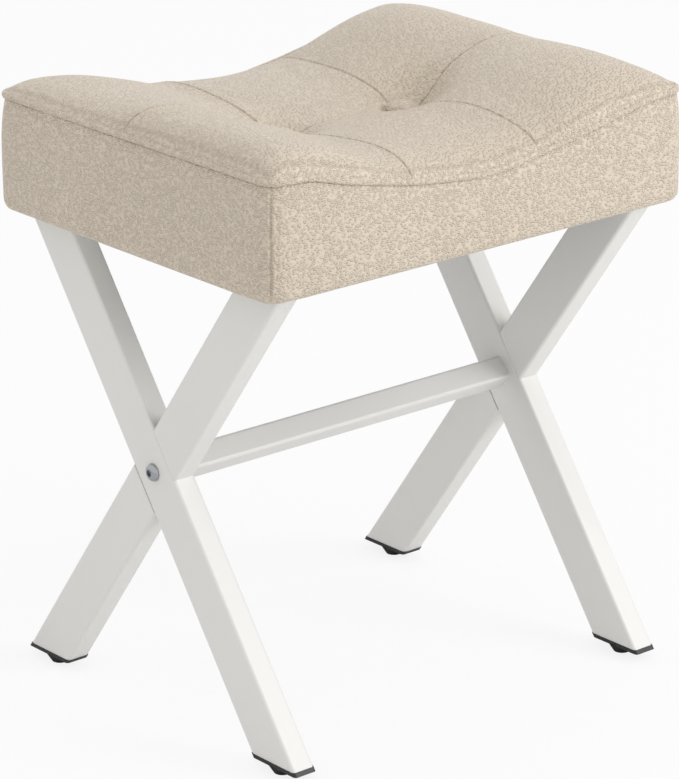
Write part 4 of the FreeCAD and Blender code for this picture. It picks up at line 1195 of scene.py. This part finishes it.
class Seat:
    """The soft part of the stool."""

    def __init__(self, palette: Palette) -> None:
        """Keeps the materials and settles the cushion's form."""
        self.palette = palette
        self.form = SeatForm()
        self.perimeter = Perimeter(self.form)

    def _settle(self, obj: bpy.types.Object, slot: Slot, *nodes: str) -> bpy.types.Object:
        """Dresses a finished piece, lets it ride on the stool and stand for its CAD nodes."""
        self.palette.dress(obj, slot)
        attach(obj, BODY)
        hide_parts(*nodes)
        LOG.info("%s: %d faces", obj.name, len(obj.data.polygons))
        return obj

    def build(self) -> None:
        """Makes the cushion, its cover and what holds them."""
        leather = self.palette.materials[Slot.LEATHER]
        panels = [f"top_panel_{place}_{half}" for place in ("left", "middle", "right") for half in ("front", "back")]
        top = self._settle(CushionTop(self.form).build(), Slot.LEATHER, *panels, "seat_foam")
        sides = [f"boxing_{side}" for side in ("front", "back", "left", "right")]
        band = self._settle(Boxing(self.form, self.perimeter).build(), Slot.LEATHER, *sides)
        self._settle(Welt(self.form, self.perimeter).build(leather), Slot.LEATHER, "welt_piping", "welt_cord")
        for side, name in ((-1, "left_button"), (1, "right_button")):
            self._settle(Button(side, self.form).build(f"{name}_cover"), Slot.LEATHER, name)
        sheet = self._settle(DustCover().build(), Slot.NONWOVEN, "dust_cover")
        self._settle(Staples().build(self.palette.materials[Slot.ZINC]), Slot.ZINC, "cover_staples")


# The room


@dataclass
class Studio:
    """A white floor, a soft sky and one large soft lamp from the front right."""

    camera_place: tuple[float, float, float] = (-1.898, -2.214, 1.257)
    camera_aim: tuple[float, float, float] = (0.0033, 0.0067, 0.2218)
    lens: float = 183.6
    sky: float = 0.83
    lamp_direction: tuple[float, float, float] = (0.5, -0.75, 0.43)
    lamp_distance: float = 3.0
    lamp_size: float = 1.6
    lamp_power: float = 31.0
    floor_half: float = 12.0

    def _camera(self) -> None:
        """The camera that sees the stool as the photograph does."""
        data = bpy.data.cameras.new("photo_camera")
        data.lens = self.lens
        data.sensor_width = 36.0
        data.clip_end = 100.0
        camera = bpy.data.objects.new("photo_camera", data)
        camera.location = self.camera_place
        aim = Vector(self.camera_aim) - Vector(self.camera_place)
        camera.rotation_euler = aim.to_track_quat("-Z", "Y").to_euler()
        bpy.context.scene.collection.objects.link(camera)
        bpy.context.scene.camera = camera

    def _lamp(self) -> None:
        """The large soft lamp."""
        data = bpy.data.lights.new("softbox", "AREA")
        data.shape = "DISK"
        data.size = self.lamp_size
        data.energy = self.lamp_power
        lamp = bpy.data.objects.new("softbox", data)
        direction = Vector(self.lamp_direction).normalized()
        lamp.location = direction * self.lamp_distance + Vector((0, 0, 0.3))
        lamp.rotation_euler = direction.to_track_quat("Z", "Y").to_euler()
        bpy.context.scene.collection.objects.link(lamp)

    def _sky(self) -> None:
        """An even sky that the camera, chrome and glass see as plain white."""
        world = bpy.data.worlds.new("studio_sky")
        bpy.context.scene.world = world
        world.use_nodes = True
        world.node_tree.nodes.clear()
        graph = Graph(world.node_tree)
        seen = graph.add("ShaderNodeLightPath", out="Is Camera Ray")
        seen = seen.math("MAXIMUM", seen, seen.other("Is Glossy Ray"))
        seen = seen.math("MAXIMUM", seen, graph.add("ShaderNodeLightPath", out="Is Transmission Ray"))
        strength = seen * (1 - self.sky) + self.sky
        background = graph.add("ShaderNodeBackground", None, {"Color": (1, 1, 1, 1), "Strength": strength})
        graph.add("ShaderNodeOutputWorld", None, {"Surface": background})

    def _floor(self) -> None:
        """A floor that looks white and still shows the stool's shadow."""
        half = self.floor_half * 1000
        corners = np.array([(-half, -half, 0), (half, -half, 0), (half, half, 0), (-half, half, 0)], float)
        floor = make_object("studio_floor", corners, [(0, 1, 2, 3)])
        material = bpy.data.materials.new("studio_floor_white")
        graph = ShaderGraph(material)
        seen = graph.add("ShaderNodeLightPath", out="Is Camera Ray")
        paint = graph.add("ShaderNodeBsdfDiffuse", None, {"Color": (0.9, 0.9, 0.9, 1)})
        glow = graph.add("ShaderNodeEmission", None, {"Color": (1, 1, 1, 1), "Strength": 1.0})
        mixed = graph.add("ShaderNodeMixShader", None, {0: seen * 0.84, 1: paint, 2: glow})
        below = graph.add("ShaderNodeNewGeometry", out="Backfacing")
        clear = graph.add("ShaderNodeBsdfTransparent")
        mixed = graph.add("ShaderNodeMixShader", None, {0: below, 1: mixed, 2: clear})
        graph.add("ShaderNodeOutputMaterial", None, {"Surface": mixed})
        floor.data.materials.append(material)

    def build(self) -> None:
        """Sets the camera, the light and the floor."""
        self._camera()
        self._lamp()
        self._sky()
        self._floor()
        bpy.context.scene.view_settings.view_transform = "Standard"


def clear_factory_objects() -> None:
    """Removes what Blender starts with, so that only the frame is left."""
    kept = {*frame["nodes"].values(), *frame["bodies"].values()}
    for obj in list(bpy.data.objects):
        if obj not in kept:
            bpy.data.objects.remove(obj)


def corners(box: tuple[Vector, Vector]) -> list[list[float]]:
    """A box as plain lists."""
    return [list(corner) for corner in box]


def main() -> None:
    """Builds the stool and its studio."""
    logging.basicConfig(level=logging.INFO, format="%(name)s: %(message)s")
    clear_factory_objects()
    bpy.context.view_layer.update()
    Studio().build()
    palette = Palette(FINISHES)
    palette.dress_nodes(frame["nodes"].values())
    Seat(palette).build()


if __name__ == "__main__":
    main()
